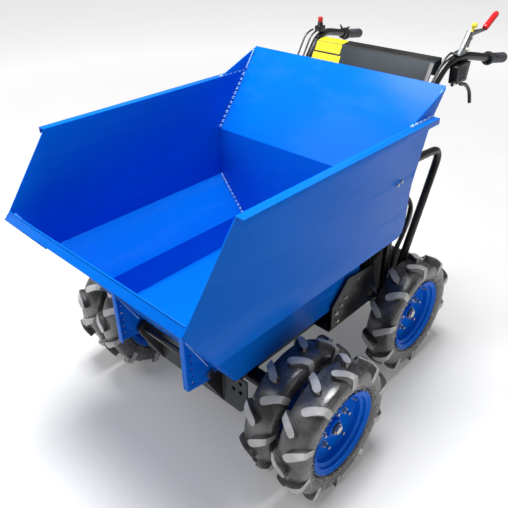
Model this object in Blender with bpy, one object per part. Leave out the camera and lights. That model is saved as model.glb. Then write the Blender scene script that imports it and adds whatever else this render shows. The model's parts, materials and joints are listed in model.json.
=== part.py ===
"""Walk-behind site dumper: a folded steel skip that tips forward over twin front wheels.

Metres, +Z up. The skip opens towards -Y and the operator walks behind, at +Y.
Stations along Y are counted from the front corner of the skip's rim, and one empty
(the datum) then moves the whole machine so that it is centred on the world's origin.
"""
import math

import bmesh
import bpy
from mathutils import Matrix, Vector

for old in list(bpy.data.objects):
    bpy.data.objects.remove(old, do_unlink=True)

# ---------------------------------------------------------------- driving sizes
GAP = 0.0003            # what faceted solids keep between touching faces
RUN_GAP = 0.0005        # radial running clearance of a pin or a hub
MOVE_GAP = 0.008        # clearance between the tub and the frame beside it

SHEET = 0.003           # skip plate thickness
PLATE = 0.006           # frame plate thickness

TYRE_R = 0.228
TYRE_W = 0.110
WHEEL_SIDES = 24        # facets round a wheel
RIM_R = 0.1282          # outside of the rim's barrel, where the tyre's beads sit
RIM_FLANGE_R = 0.142
RIM_W = 0.092
TWIN_GAP = 0.018        # air between the two tyres of a twin
TWIN_PITCH = TYRE_W + TWIN_GAP
HUB_R = 0.034
STUB_R = 0.020
AXLE_TUBE_R = 0.028

FRONT_AXLE_Y = 0.278
WHEELBASE = 0.641
REAR_AXLE_Y = FRONT_AXLE_Y + WHEELBASE
AXLE_Z = TYRE_R

RAIL_X = 0.140          # inner face of a chassis rail
RAIL_W = 0.040
RAIL_H = 0.070
RAIL_Z0 = AXLE_Z + AXLE_TUBE_R + GAP
RAIL_Z1 = RAIL_Z0 + RAIL_H

TUB_HALF = 0.278        # half width of the tub between the wheels, outside
WALL_HALF = 0.390       # half width over the side walls
FLANGE = 0.024          # how far the rim's flange stands out
FLANGE_DROP = 0.018

FRAME_HALF = TUB_HALF + MOVE_GAP + PLATE
TYRE_IN_X = FRAME_HALF + 0.018
INNER_WHEEL_X = TYRE_IN_X + TYRE_W / 2
OUTER_WHEEL_X = INNER_WHEEL_X + TWIN_PITCH

PIVOT_Y = 0.088
PIVOT_Z = RAIL_Z1 + 0.0397
LUG_R = 0.024
PIN_R = 0.010

FLOOR_Z = PIVOT_Z + 0.039       # top face of the skip's floor
SILL_Z = FLOOR_Z + 0.107        # where the tub's upright sides meet its sloping sides
FOOT_Z = SILL_Z + 0.136         # foot of the side walls
FOLD_Z = FOOT_Z + 0.184         # fold in the rear panel
RIM_Z = FOOT_Z + 0.372
TOP_Z = RIM_Z + 0.077

RIM_LENGTH = 0.834
LIP_Y = -0.154                  # inner edge of the front lip
LIP_Z = RIM_Z - 0.206
LIP_STRIP = 0.029               # width of the folded lip strip
FRONT_FLOOR_Y = 0.090           # where the front slope meets the floor
BACK_Y = 0.693                  # the rear panel's upright part
TOP_Y = 0.896

DECK_Z0 = RAIL_Z1 + GAP
DECK_Z1 = DECK_Z0 + PLATE
DECK_FRONT_Y = 0.520
DECK_REAR_Y = REAR_AXLE_Y + 0.221

TUBE_R = 0.014
HANDLE_X = 0.265                # handlebar tube beside the console
HANDLE_FOOT_X = 0.235
GRIP_END_Y = 1.475
GRIP_R = 0.018

TIP_RANGE = math.radians(70)                     # how far the skip tips forward
RAM_EYE = (PIVOT_Y + 0.120, PIVOT_Z - 0.010)     # rod eye at rest, (y, z)
RAM_BASE = (PIVOT_Y + 0.700, PIVOT_Z - 0.180)    # base pin, (y, z)
RAM_R = 0.025
ROD_R = 0.0125

LIP_OUT_Y = LIP_Y - LIP_STRIP * math.sin(math.radians(44))
MID_Y = (LIP_OUT_Y + GRIP_END_Y) / 2             # middle of the whole length

SIDES = (("left", 1), ("right", -1))             # left is +X, seen by the operator

# ---------------------------------------------------------------- materials
MATERIALS = {
    "blue_paint": ((0.004, 0.100, 0.620), 0.25, 0.0),
    "black_paint": ((0.012, 0.012, 0.014), 0.35, 0.0),
    "grey_paint": ((0.060, 0.070, 0.075), 0.45, 0.0),
    "tyre_rubber": ((0.020, 0.020, 0.020), 0.80, 0.0),
    "grip_rubber": ((0.020, 0.024, 0.030), 0.70, 0.0),
    "steel": ((0.450, 0.460, 0.470), 0.30, 1.0),
    "cast_metal": ((0.250, 0.250, 0.250), 0.50, 1.0),
    "red_plastic": ((0.600, 0.020, 0.020), 0.35, 0.0),
    "black_plastic": ((0.015, 0.015, 0.015), 0.50, 0.0),
    "hose_rubber": ((0.012, 0.012, 0.012), 0.60, 0.0),
}


def material(name):
    found = bpy.data.materials.get(name)
    if found:
        return found
    colour, roughness, metallic = MATERIALS[name]
    made = bpy.data.materials.new(name)
    made.use_nodes = True
    shader = made.node_tree.nodes["Principled BSDF"]
    shader.inputs["Base Color"].default_value = (*colour, 1.0)
    shader.inputs["Roughness"].default_value = roughness
    shader.inputs["Metallic"].default_value = metallic
    return made


# ---------------------------------------------------------------- frames that carry the pieces
def empty(name, location, parent=None):
    made = bpy.data.objects.new(name, None)
    made.location = location
    made.parent = parent
    bpy.context.collection.objects.link(made)
    return made


datum = empty("datum", (0, -MID_Y, 0))
chassis = empty("chassis_frame", (0, 0, 0), datum)
skip_axis = empty("skip_axis", (0, PIVOT_Y, PIVOT_Z), datum)
ram_axis = empty("ram_axis", (0, *RAM_BASE), datum)


# ---------------------------------------------------------------- shape helpers
def add_object(name, bm, finish, carrier=chassis, smooth=False):
    """Make an object from a bmesh in machine coordinates, hung on its carrier empty."""
    bmesh.ops.recalc_face_normals(bm, faces=bm.faces)
    bmesh.ops.translate(bm, verts=bm.verts, vec=-carrier_place(carrier))
    mesh = bpy.data.meshes.new(name)
    bm.to_mesh(mesh)
    bm.free()
    mesh.materials.append(material(finish))
    if smooth:
        mesh.shade_smooth()
        mesh.set_sharp_from_angle(angle=math.radians(35))
    made = bpy.data.objects.new(name, mesh)
    made.parent = carrier
    bpy.context.collection.objects.link(made)
    return made


def carrier_place(carrier):
    return Vector((0, 0, 0)) if carrier is chassis else Vector(carrier.location)


def prism(outline, axis, low, high):
    """Extrude a closed outline along X, Y or Z. The outline's pairs are the other two axes."""
    bm = bmesh.new()

    def corner(pair, along):
        a, b = pair
        return {"X": (along, a, b), "Y": (a, along, b), "Z": (a, b, along)}[axis]

    rings = [[bm.verts.new(corner(p, along)) for p in outline] for along in (low, high)]
    bm.faces.new(rings[0])
    bm.faces.new(reversed(rings[1]))
    count = len(outline)
    for i in range(count):
        j = (i + 1) % count
        bm.faces.new((rings[0][i], rings[0][j], rings[1][j], rings[1][i]))
    return bm


def box(x, y, z):
    return prism([(x[0], y[0]), (x[1], y[0]), (x[1], y[1]), (x[0], y[1])], "Z", *z)


def lathe(outline, centre, segments=WHEEL_SIDES):
    """Turn a closed (x, radius) outline round the X axis through centre = (y, z)."""
    bm = bmesh.new()
    rings = []
    for x, r in outline:
        if r < 1e-7:
            rings.append([bm.verts.new((x, *centre))] * segments)
            continue
        ring = []
        for k in range(segments):
            turn = 2 * math.pi * k / segments
            ring.append(bm.verts.new((x, centre[0] + r * math.cos(turn), centre[1] + r * math.sin(turn))))
        rings.append(ring)
    for i in range(len(rings)):
        a, b = rings[i], rings[(i + 1) % len(rings)]
        for k in range(segments):
            n = (k + 1) % segments
            corners = list(dict.fromkeys((a[k], a[n], b[n], b[k])))
            if len(corners) > 2:
                bm.faces.new(corners)
    return bm


def loft(rows_outer, rows_inner):
    """Close the space between two sheets of points, each given as rows across X."""
    bm = bmesh.new()
    outer = [[bm.verts.new(p) for p in row] for row in rows_outer]
    inner = [[bm.verts.new(p) for p in row] for row in rows_inner]
    last_row, last_col = len(outer) - 1, len(outer[0]) - 1
    for sheet in (outer, inner):
        for i in range(last_row):
            for j in range(last_col):
                bm.faces.new((sheet[i][j], sheet[i][j + 1], sheet[i + 1][j + 1], sheet[i + 1][j]))
    edge = [(i, 0) for i in range(last_row)] + [(last_row, j) for j in range(last_col)]
    edge += [(i, last_col) for i in range(last_row, 0, -1)] + [(0, j) for j in range(last_col, 0, -1)]
    for (i, j), (k, l) in zip(edge, edge[1:] + edge[:1]):
        bm.faces.new((outer[i][j], outer[k][l], inner[k][l], inner[i][j]))
    return bm


def offset_line(points, distance):
    """Shift an open polyline sideways, with mitred corners."""
    points = [Vector(p) for p in points]
    normals = []
    for a, b in zip(points, points[1:]):
        along = (b - a).normalized()
        normals.append(Vector((-along.y, along.x)))
    shifted = [points[0] + normals[0] * distance]
    for p, n1, n2 in zip(points[1:-1], normals, normals[1:]):
        mitre = (n1 + n2).normalized()
        shifted.append(p + mitre * (distance / mitre.dot(n1)))
    shifted.append(points[-1] + normals[-1] * distance)
    return [tuple(p) for p in shifted]


def folded(points, thickness):
    """Closed outline of a folded sheet: the line itself and its copy a thickness away."""
    return list(points) + offset_line(points, thickness)[::-1]


def arc(centre, radius, start, end, steps):
    """Points on a circle in the (y, z) plane, angles in degrees."""
    turns = [math.radians(start + (end - start) * k / steps) for k in range(steps + 1)]
    return [(centre[0] + radius * math.cos(t), centre[1] + radius * math.sin(t)) for t in turns]


def smooth_route(points, step):
    """Points a step apart on a centripetal Catmull-Rom curve through the route."""
    pts = [Vector(p) for p in points]
    pts = [2 * pts[0] - pts[1]] + pts + [2 * pts[-1] - pts[-2]]
    route = [pts[1]]
    for p0, p1, p2, p3 in zip(pts, pts[1:], pts[2:], pts[3:]):
        t0 = 0.0
        t1 = t0 + math.sqrt((p1 - p0).length)
        t2 = t1 + math.sqrt((p2 - p1).length)
        t3 = t2 + math.sqrt((p3 - p2).length)
        count = max(1, round((p2 - p1).length / step))
        for k in range(1, count + 1):
            t = t1 + (t2 - t1) * k / count
            a1 = p0.lerp(p1, (t - t0) / (t1 - t0))
            a2 = p1.lerp(p2, (t - t1) / (t2 - t1))
            a3 = p2.lerp(p3, (t - t2) / (t3 - t2))
            b1 = a1.lerp(a2, (t - t0) / (t2 - t0))
            b2 = a2.lerp(a3, (t - t1) / (t3 - t1))
            route.append(b1.lerp(b2, (t - t1) / (t2 - t1)))
    return route


def tube(name, points, radius, finish, carrier=chassis, resolution=3):
    """A round tube or cable: a poly curve with a bevel and filled caps."""
    curve = bpy.data.curves.new(name, "CURVE")
    curve.dimensions = "3D"
    curve.bevel_depth = radius
    curve.bevel_resolution = resolution
    curve.use_fill_caps = True
    spline = curve.splines.new("POLY")
    spline.points.add(len(points) - 1)
    for target, p in zip(spline.points, points):
        target.co = (*(Vector(p) - carrier_place(carrier)), 1.0)
    curve.materials.append(material(finish))
    made = bpy.data.objects.new(name, curve)
    made.parent = carrier
    bpy.context.collection.objects.link(made)
    return made


def helper(name, bm, carrier):
    made = add_object(name, bm, "steel", carrier)
    made.hide_render = True
    made.display_type = "WIRE"
    return made


def combine(target, pieces, operation):
    """Join pieces to the target, or cut them from it, with one Boolean each."""
    for k, bm in enumerate(pieces):
        part = helper(f"{target.name}_{operation.lower()}_{k}", bm, target.parent)
        modifier = target.modifiers.new(f"{operation.lower()}_{k}", "BOOLEAN")
        modifier.operation = operation
        modifier.object = part
    return target


def cross_cylinder(centre, radius, low, high, segments=20):
    """A plain cylinder along X."""
    return lathe([(low, 0), (low, radius), (high, radius), (high, 0)], centre, segments)


# ---------------------------------------------------------------- skip
def front_y(z):
    """Inner face of the front slope at a height."""
    return FRONT_FLOOR_Y + (LIP_Y - FRONT_FLOOR_Y) * (z - FLOOR_Z) / (LIP_Z - FLOOR_Z)


SLOPE = math.atan2(LIP_Z - FLOOR_Z, FRONT_FLOOR_Y - LIP_Y)
SLOPE_STEP_Y = SHEET / math.sin(SLOPE)           # sheet thickness measured along Y


def back_y(z):
    """Inner face of the rear panel at a height."""
    if z <= FOLD_Z:
        return BACK_Y
    return BACK_Y + (TOP_Y - BACK_Y) * (z - FOLD_Z) / (TOP_Z - FOLD_Z)


def tub_half(z):
    """Inner half width of the tub at a height."""
    inside = TUB_HALF - SHEET
    wall = WALL_HALF - SHEET
    if z <= SILL_Z:
        return inside
    if z >= FOOT_Z:
        return wall
    return inside + (wall - inside) * (z - SILL_Z) / (FOOT_Z - SILL_Z)


def skip_side(side, sign):
    """Side wall with its rim flange, its turned-down edge and its rear gusset."""
    drop = math.radians(44)
    outline = [
        (LIP_Y - LIP_STRIP * math.sin(drop), LIP_Z - LIP_STRIP * math.cos(drop)),
        (front_y(FOOT_Z) - 0.020, FOOT_Z),
        (BACK_Y + 0.030, FOOT_Z),
        (BACK_Y + 0.052, FOOT_Z + 0.012),
        (BACK_Y + 0.062, FOOT_Z + 0.040),
        (BACK_Y + 0.067, FOLD_Z - 0.020),
        (RIM_LENGTH, RIM_Z - SHEET),
        (0.0, RIM_Z - SHEET),
        (LIP_Y, LIP_Z),
    ]
    inner, outer = WALL_HALF - SHEET, WALL_HALF
    wall = add_object(f"skip_side_{side}", prism(outline, "X", *sorted((sign * inner, sign * outer))),
                      "blue_paint", skip_axis)
    edge = WALL_HALF + FLANGE
    profile = [(inner, RIM_Z), (edge, RIM_Z), (edge, RIM_Z - FLANGE_DROP), (edge - SHEET, RIM_Z - FLANGE_DROP),
               (edge - SHEET, RIM_Z - SHEET - GAP), (inner, RIM_Z - SHEET - GAP)]
    flange = prism([(sign * x, z) for x, z in profile], "Y", 0.0, RIM_LENGTH)
    gusset_front = back_y(RIM_Z) - 0.135
    gusset = prism([(gusset_front, RIM_Z - SHEET), (back_y(RIM_Z) - GAP, RIM_Z - SHEET),
                    (TOP_Y - 0.004, TOP_Z - 0.006)], "X", *sorted((sign * inner, sign * outer)))
    return combine(wall, [flange, gusset], "UNION")


def skip_front():
    """Front slope, cut to the tub's section, with the lip folded out and down."""
    top_half = WALL_HALF - SHEET - GAP
    levels = (FLOOR_Z + GAP, SILL_Z, FOOT_Z, LIP_Z)
    inner_rows, outer_rows = [], []
    for z in levels:
        half = min(tub_half(z) - GAP, top_half)
        inner_rows.append([(-half, front_y(z), z), (half, front_y(z), z)])
        outer_rows.append([(-half, front_y(z) - SLOPE_STEP_Y, z), (half, front_y(z) - SLOPE_STEP_Y, z)])
    front = add_object("skip_front", loft(outer_rows, inner_rows), "blue_paint", skip_axis)
    drop = math.radians(44)
    out = (LIP_Y - LIP_STRIP * math.sin(drop), LIP_Z - LIP_STRIP * math.cos(drop))
    strip = prism(folded([(LIP_Y + 0.0005, LIP_Z), out], SHEET), "X", -top_half, top_half)
    return combine(front, [strip], "UNION")


def skip_floor():
    """Folded pan: floor, two upright sides and two sloping sides up to the walls' feet."""
    inside, wall = TUB_HALF - SHEET, WALL_HALF - SHEET
    top = FOOT_Z - GAP
    line = [(-wall, top), (-inside, SILL_Z), (-inside, FLOOR_Z), (inside, FLOOR_Z), (inside, SILL_Z), (wall, top)]
    under = offset_line(line, -SHEET)
    under[0] = (-wall - SHEET * 0.9, top)
    under[-1] = (wall + SHEET * 0.9, top)
    rows_inner, rows_outer = [], []
    for place in ("front", "back"):
        inner_row, outer_row = [], []
        for (x, z), (ux, uz) in zip(line, under):
            if place == "front":
                inner_row.append((x, front_y(z) + GAP, z))
                outer_row.append((ux, front_y(uz) + GAP, uz))
            else:
                inner_row.append((x, BACK_Y - GAP, z))
                outer_row.append((ux, BACK_Y - GAP, uz))
        rows_inner.append(inner_row)
        rows_outer.append(outer_row)
    return add_object("skip_floor", loft(rows_outer, rows_inner), "blue_paint", skip_axis)


def skip_back():
    """Rear panel: cut to the tub's section below, upright, then leaning back to its top."""
    levels = (FLOOR_Z - SHEET, SILL_Z, FOOT_Z, FOLD_Z, TOP_Z)
    halves = [TUB_HALF, TUB_HALF] + [WALL_HALF - SHEET - GAP] * 3
    line = [(back_y(z), z) for z in levels]
    rows = [[[(-half, y, z), (half, y, z)] for half, (y, z) in zip(halves, face)]
            for face in (offset_line(line, -SHEET), line)]
    return add_object("skip_back", loft(*rows), "blue_paint", skip_axis)


BRACKET_X = 0.1635
BRACKET_FLANGE = 0.015


def skip_bracket(side, sign):
    """Hinge bracket under the front slope, with its column of holes and a turned-in front flange."""
    under = FLOOR_Z - SHEET - GAP
    drop = SHEET / math.cos(SLOPE) + GAP * 3

    def slope_under(y):
        return FLOOR_Z + (FRONT_FLOOR_Y - y) * math.tan(SLOPE) - drop

    low = PIVOT_Z - LUG_R
    corner_y = FRONT_FLOOR_Y - SLOPE_STEP_Y
    outline = [(0.0, PIVOT_Z - 0.014), (PIVOT_Y - 0.019, low), (PIVOT_Y + 0.012, low + 0.002),
               (PIVOT_Y + 0.028, PIVOT_Z - 0.008), (PIVOT_Y + 0.036, under), (corner_y, under),
               (0.0, slope_under(0.0))]
    x0, x1 = sign * BRACKET_X, sign * (BRACKET_X + PLATE)
    bracket = add_object(f"skip_bracket_{side}", prism(outline, "X", *sorted((x0, x1))), "blue_paint", skip_axis)
    flange = prism([(0.0, PIVOT_Z - 0.014), (SHEET, PIVOT_Z - 0.0145), (SHEET, slope_under(SHEET)),
                    (0.0, slope_under(0.0))], "X", *sorted((sign * (BRACKET_X - BRACKET_FLANGE), sign * (BRACKET_X + 0.001))))
    combine(bracket, [flange], "UNION")
    reach = sorted((sign * (BRACKET_X - 0.002), sign * (BRACKET_X + PLATE + 0.002)))
    holes = [cross_cylinder((PIVOT_Y, PIVOT_Z), PIN_R + RUN_GAP, *reach)]
    for k in range(5):
        holes.append(cross_cylinder((0.021, PIVOT_Z + 0.008 + 0.027 * k), 0.006, *reach, segments=10))
    return combine(bracket, holes, "DIFFERENCE")


def ram_lug():
    """Two ears under the floor, with the rod's eye free between them."""
    ear_in, ear_out = 0.024, 0.030
    top = FLOOR_Z - SHEET - GAP
    y, z = RAM_EYE
    half = 0.030
    ear = [(y - half, top), (y - 0.018, z - 0.016), (y + 0.018, z - 0.016), (y + half, top)]
    plate_top = prism([(y - half, top), (y + half, top), (y + half, top - 0.004), (y - half, top - 0.004)],
                      "X", -ear_out, ear_out)
    lug = add_object("ram_lug", plate_top, "blue_paint", skip_axis)
    ears = [prism(ear, "X", *sorted((s * ear_in, s * ear_out))) for s in (1, -1)]
    return combine(lug, ears, "UNION")


def latch_lug(side, sign):
    """Short square bar that stands out behind the rear panel."""
    x = sorted((sign * (WALL_HALF - 0.035), sign * (WALL_HALF - 0.015)))
    y0 = BACK_Y + SHEET + GAP
    return add_object(f"latch_lug_{side}", box(x, (y0, BACK_Y + 0.100), (FOLD_Z - 0.045, FOLD_Z - 0.023)),
                      "black_paint", skip_axis)


# ---------------------------------------------------------------- chassis
def rails():
    for side, sign in SIDES:
        x = sorted((sign * RAIL_X, sign * (RAIL_X + RAIL_W)))
        y = (FRONT_PLATE_Y + PLATE + GAP, DECK_REAR_Y - 0.010)
        add_object(f"rail_{side}", box(x, y, (RAIL_Z0, RAIL_Z1)), "black_paint")


FRONT_PLATE_Y = PIVOT_Y + 0.062


def front_plate():
    """Wide cross plate that closes the frame in front."""
    half = TUB_HALF - 0.016
    low, top = RAIL_Z0 - 0.062, PIVOT_Z - 0.026
    outline = [(-half + 0.030, low), (half - 0.030, low), (half, low + 0.040), (half, top), (-half, top),
               (-half, low + 0.040)]
    return add_object("front_plate", prism(outline, "Y", FRONT_PLATE_Y, FRONT_PLATE_Y + PLATE), "grey_paint")


def pivot_upright(side, sign):
    """Leaning bar from the front plate up to the skip's pivot."""
    foot_y = FRONT_PLATE_Y - GAP
    low = RAIL_Z0 - 0.062
    outline = [(foot_y, low), (foot_y, low + 0.115)]
    outline += arc((PIVOT_Y, PIVOT_Z), LUG_R, 15, 200, 10)
    x = sorted((sign * (BRACKET_X - 0.0235), sign * (BRACKET_X - 0.0055)))
    upright = add_object(f"pivot_upright_{side}", prism(outline, "X", *x), "black_paint")
    reach = (x[0] - 0.002, x[1] + 0.002)
    return combine(upright, [cross_cylinder((PIVOT_Y, PIVOT_Z), PIN_R + GAP, *reach)], "DIFFERENCE")


def pivot_pin():
    half = BRACKET_X + PLATE + 0.010
    return add_object("pivot_pin", cross_cylinder((PIVOT_Y, PIVOT_Z), PIN_R, -half, half), "steel", smooth=True)


def deck():
    """Flat plate over the rails, notched in front where the lift cylinder swings up."""
    plate = add_object("rear_deck", box((-FRAME_HALF, FRAME_HALF), (DECK_FRONT_Y, DECK_REAR_Y), (DECK_Z0, DECK_Z1)),
                       "black_paint")
    half = RAM_R + 0.015
    notch = box((-half, half), (DECK_FRONT_Y - 0.010, DECK_FRONT_Y + 0.080), (DECK_Z0 - 0.010, DECK_Z1 + 0.010))
    return combine(plate, [notch], "DIFFERENCE")


def side_plate(side, sign):
    """Upright plate beside the tub, bolted to the deck."""
    base = DECK_Z1 + GAP
    outline = [(DECK_FRONT_Y + 0.012, base), (BACK_Y + 0.120, base), (BACK_Y + 0.060, base + 0.150),
               (BACK_Y - 0.080, base + 0.168), (DECK_FRONT_Y + 0.012, base + 0.090)]
    x = sorted((sign * (FRAME_HALF - PLATE), sign * FRAME_HALF))
    return add_object(f"side_plate_{side}", prism(outline, "X", *x), "black_paint")


def skip_rest():
    """Cross bar that the tub comes down over, with a rubber-faced top just under the floor."""
    y = (BACK_Y - 0.060, BACK_Y - 0.020)
    z = (DECK_Z1 + GAP, FLOOR_Z - SHEET - 0.006)
    return add_object("skip_rest", box((-0.180, 0.180), y, z), "black_paint")


def axle(name, y, stub_end):
    """Axle tubes with the differential bulge in the middle and a stub at each end."""
    tube_end = TUB_HALF + MOVE_GAP
    half = [(0.0, 0.068), (0.050, 0.064), (0.072, 0.044), (0.085, AXLE_TUBE_R), (tube_end, AXLE_TUBE_R),
            (tube_end, STUB_R), (stub_end, STUB_R), (stub_end, 0.0)]
    outline = [(-x, r) for x, r in reversed(half)] + half[1:]
    return add_object(name, lathe(outline, (y, AXLE_Z), 20), "black_paint", smooth=True)


def ram_mount():
    """Cross bar between the rails with two ears for the ram's base pin, and the pin."""
    y, z = RAM_BASE
    span = RAIL_X - GAP
    bar_z = (RAIL_Z0 + 0.004, RAIL_Z1 - 0.020)
    bar = add_object("ram_mount", box((-span, span), (y + 0.042, y + 0.072), bar_z), "black_paint")
    ear = [(y + 0.050, bar_z[1] - 0.006), (y + 0.050, z - 0.030), (y - 0.010, z - 0.018), (y - 0.014, z + 0.010),
           (y, z + 0.020)]
    ears = [prism(ear, "X", *sorted((s * 0.034, s * 0.042))) for s in (1, -1)]
    pin = cross_cylinder((y, z), 0.009, -0.046, 0.046, 16)
    return combine(bar, ears + [pin], "UNION")


def lean(bm, base, angle):
    """Turn a shape made along +Y from the machine's X axis, then carry it to base."""
    turn = Matrix.Rotation(angle, 4, "X")
    bmesh.ops.transform(bm, matrix=Matrix.Translation((0, *base)) @ turn, verts=bm.verts)
    return bm


def along_y(outline, segments=18):
    """Turn a closed (y, radius) outline round the Y axis."""
    bm = lathe([(y, r) for y, r in outline], (0, 0), segments)
    bmesh.ops.rotate(bm, verts=bm.verts, cent=(0, 0, 0), matrix=Matrix.Rotation(math.pi / 2, 3, "Z"))
    return bm


def ram():
    """Lift cylinder from its base pin, and its rod up to the skip's ears."""
    reach = Vector(RAM_EYE) - Vector(RAM_BASE)
    length = reach.length
    tilt = math.atan2(reach.y, reach.x)
    bore = ROD_R + RUN_GAP
    turn = Matrix.Rotation(TIP_RANGE, 2)
    pivot = Vector((PIVOT_Y, PIVOT_Z))
    stroke = (pivot + turn @ (Vector(RAM_EYE) - pivot) - Vector(RAM_BASE)).length - length
    mouth = length - 0.105
    barrel = [(0.022, 0), (0.022, RAM_R), (mouth, RAM_R), (mouth, bore), (0.050, bore), (0.050, 0)]
    body = add_object("lift_cylinder", lean(along_y(barrel), RAM_BASE, tilt), "black_paint", ram_axis, smooth=True)
    eye = cross_cylinder(RAM_BASE, 0.024, -0.026, 0.026)
    combine(body, [eye], "UNION")
    combine(body, [cross_cylinder(RAM_BASE, 0.009 + RUN_GAP, -0.030, 0.030, 16)], "DIFFERENCE")
    inner_end = mouth - stroke - 0.060
    rod_line = [(inner_end, 0), (inner_end, ROD_R), (length - 0.008, ROD_R), (length - 0.008, 0)]
    rod = add_object("lift_rod", lean(along_y(rod_line), RAM_BASE, tilt), "steel", ram_axis, smooth=True)
    combine(rod, [cross_cylinder(RAM_EYE, 0.018, -0.015, 0.015)], "UNION")


# ---------------------------------------------------------------- engine and guards behind the skip
ENGINE_Y = REAR_AXLE_Y + 0.031


def engine():
    """Plain engine block with its fan housing, tank and silencer."""
    base = DECK_Z1 + GAP
    y0, y1 = ENGINE_Y - 0.110, ENGINE_Y + 0.110
    block_top = base + 0.200
    add_object("engine_block", box((-0.120, 0.120), (y0, y1), (base, block_top)), "cast_metal")
    centre = (ENGINE_Y, base + 0.116)
    fan = [(0.120 + GAP, 0), (0.120 + GAP, 0.108), (0.165, 0.108), (0.180, 0.094), (0.188, 0.050), (0.188, 0)]
    add_object("fan_housing", lathe(fan, centre, 24), "black_plastic", smooth=True)
    tank = box((-0.105, 0.115), (y0 + 0.010, y1 - 0.010), (block_top + GAP, block_top + 0.105))
    made = add_object("fuel_tank", tank, "black_plastic")
    round_edges(made, 0.022, 3)
    silencer = box((-0.215, -0.120 - GAP), (ENGINE_Y - 0.075, ENGINE_Y + 0.085), (base + 0.095, block_top + 0.010))
    made = add_object("silencer", silencer, "cast_metal")
    round_edges(made, 0.014, 2)


def round_edges(made, width, segments):
    bevel = made.modifiers.new("round", "BEVEL")
    bevel.width = width
    bevel.segments = segments
    bevel.limit_method = "ANGLE"


def hydraulic_tank():
    base = DECK_Z1 + GAP
    y = (BACK_Y + 0.028, BACK_Y + 0.103)
    made = add_object("hydraulic_tank", box((-0.205, 0.205), y, (base, base + 0.215)), "black_paint")
    round_edges(made, 0.008, 2)


HOSE_X = 0.250
HOSE_R = 0.0085
HOSE_CLEAR = 0.0075             # between the hose and the handlebar's upright part


def hydraulic_hose():
    """Hose in a slack bow from the top of the oil tank back to the deck."""
    tank_top = DECK_Z1 + GAP + 0.215
    y_tank = BACK_Y + 0.066
    beside_bar = HANDLE_FOOT_X - TUBE_R - HOSE_R - HOSE_CLEAR
    route = [(0.185, y_tank, tank_top + GAP), (0.185, y_tank, tank_top + 0.020),
             (beside_bar, y_tank + 0.060, tank_top + 0.105), (0.232, y_tank + 0.170, tank_top + 0.128),
             (HOSE_X, y_tank + 0.262, tank_top + 0.085), (HOSE_X + 0.003, y_tank + 0.300, tank_top + 0.010),
             (HOSE_X, y_tank + 0.270, tank_top - 0.070), (HOSE_X - 0.006, y_tank + 0.225, tank_top - 0.150),
             (HOSE_X - 0.008, y_tank + 0.215, DECK_Z1 + 0.020), (HOSE_X - 0.008, y_tank + 0.215, DECK_Z1 + GAP)]
    tube("hydraulic_hose", smooth_route(route, 0.024), HOSE_R, "hose_rubber")


GUARD_X = FRAME_HALF - TUBE_R + 0.007


def guard(side, sign):
    """Side hoop over the engine: leaning rear leg, top bar and front leg."""
    x = sign * GUARD_X
    base = DECK_Z1 + GAP
    rear, front = REAR_AXLE_Y, BACK_Y + 0.165
    route = [(x, rear + 0.040, base), (x, rear + 0.040, base + 0.016), (x, rear + 0.085, base + 0.120),
             (x, rear + 0.168, base + 0.300), (x, rear + 0.208, base + 0.395), (x, rear + 0.222, base + 0.440),
             (x, rear + 0.205, base + 0.466), (x, rear + 0.165, base + 0.470), (x, rear + 0.080, base + 0.476),
             (x, front + 0.055, base + 0.476), (x, front + 0.016, base + 0.458), (x, front, base + 0.415),
             (x, front, base + 0.250), (x, front, base)]
    tube(f"guard_{side}", smooth_route(route, 0.055), TUBE_R, "black_paint")


# ---------------------------------------------------------------- handlebars and controls
HANDLE_FOOT_Y = BACK_Y + 0.137
BEND_Z = RIM_Z + 0.089
GRIP_START = (HANDLE_X + 0.043, GRIP_END_Y - 0.125, RIM_Z + 0.061)
GRIP_END = (HANDLE_X + 0.052, GRIP_END_Y - 0.0052, RIM_Z + 0.040)


def handlebar_points():
    """Centre line of the left handlebar."""
    base = DECK_Z1 + GAP
    y = HANDLE_FOOT_Y
    route = [(HANDLE_FOOT_X, y, base), (HANDLE_FOOT_X, y, base + 0.180),
             (HANDLE_FOOT_X + 0.001, y + 0.012, FOLD_Z - 0.140),
             (0.245, y + 0.060, FOLD_Z + 0.020), (HANDLE_X - 0.004, y + 0.165, RIM_Z - 0.060),
             (HANDLE_X, y + 0.225, RIM_Z + 0.010), (HANDLE_X + 0.003, y + 0.265, RIM_Z + 0.060),
             (HANDLE_X + 0.012, y + 0.305, BEND_Z), (HANDLE_X + 0.023, y + 0.365, BEND_Z + 0.004),
             GRIP_START, GRIP_END]
    return smooth_route(route, 0.045)


def handlebar(side, sign):
    """One tube from the deck up behind the skip, bent back to the operator's grip."""
    tube(f"handlebar_{side}", [(sign * p.x, p.y, p.z) for p in handlebar_points()], TUBE_R, "black_paint")


def bar_surface(y, side):
    """Height of the handlebar's upper (side 1) or lower (side -1) face behind its bend."""
    points = handlebar_points()
    for a, b in zip(points, points[1:]):
        if a.y <= y <= b.y and a.z > RIM_Z:
            rise = (b.z - a.z) / (b.y - a.y)
            centre = a.z + rise * (y - a.y)
            return centre + side * (TUBE_R * math.hypot(1, rise) + GAP)
    return BEND_Z


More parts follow.
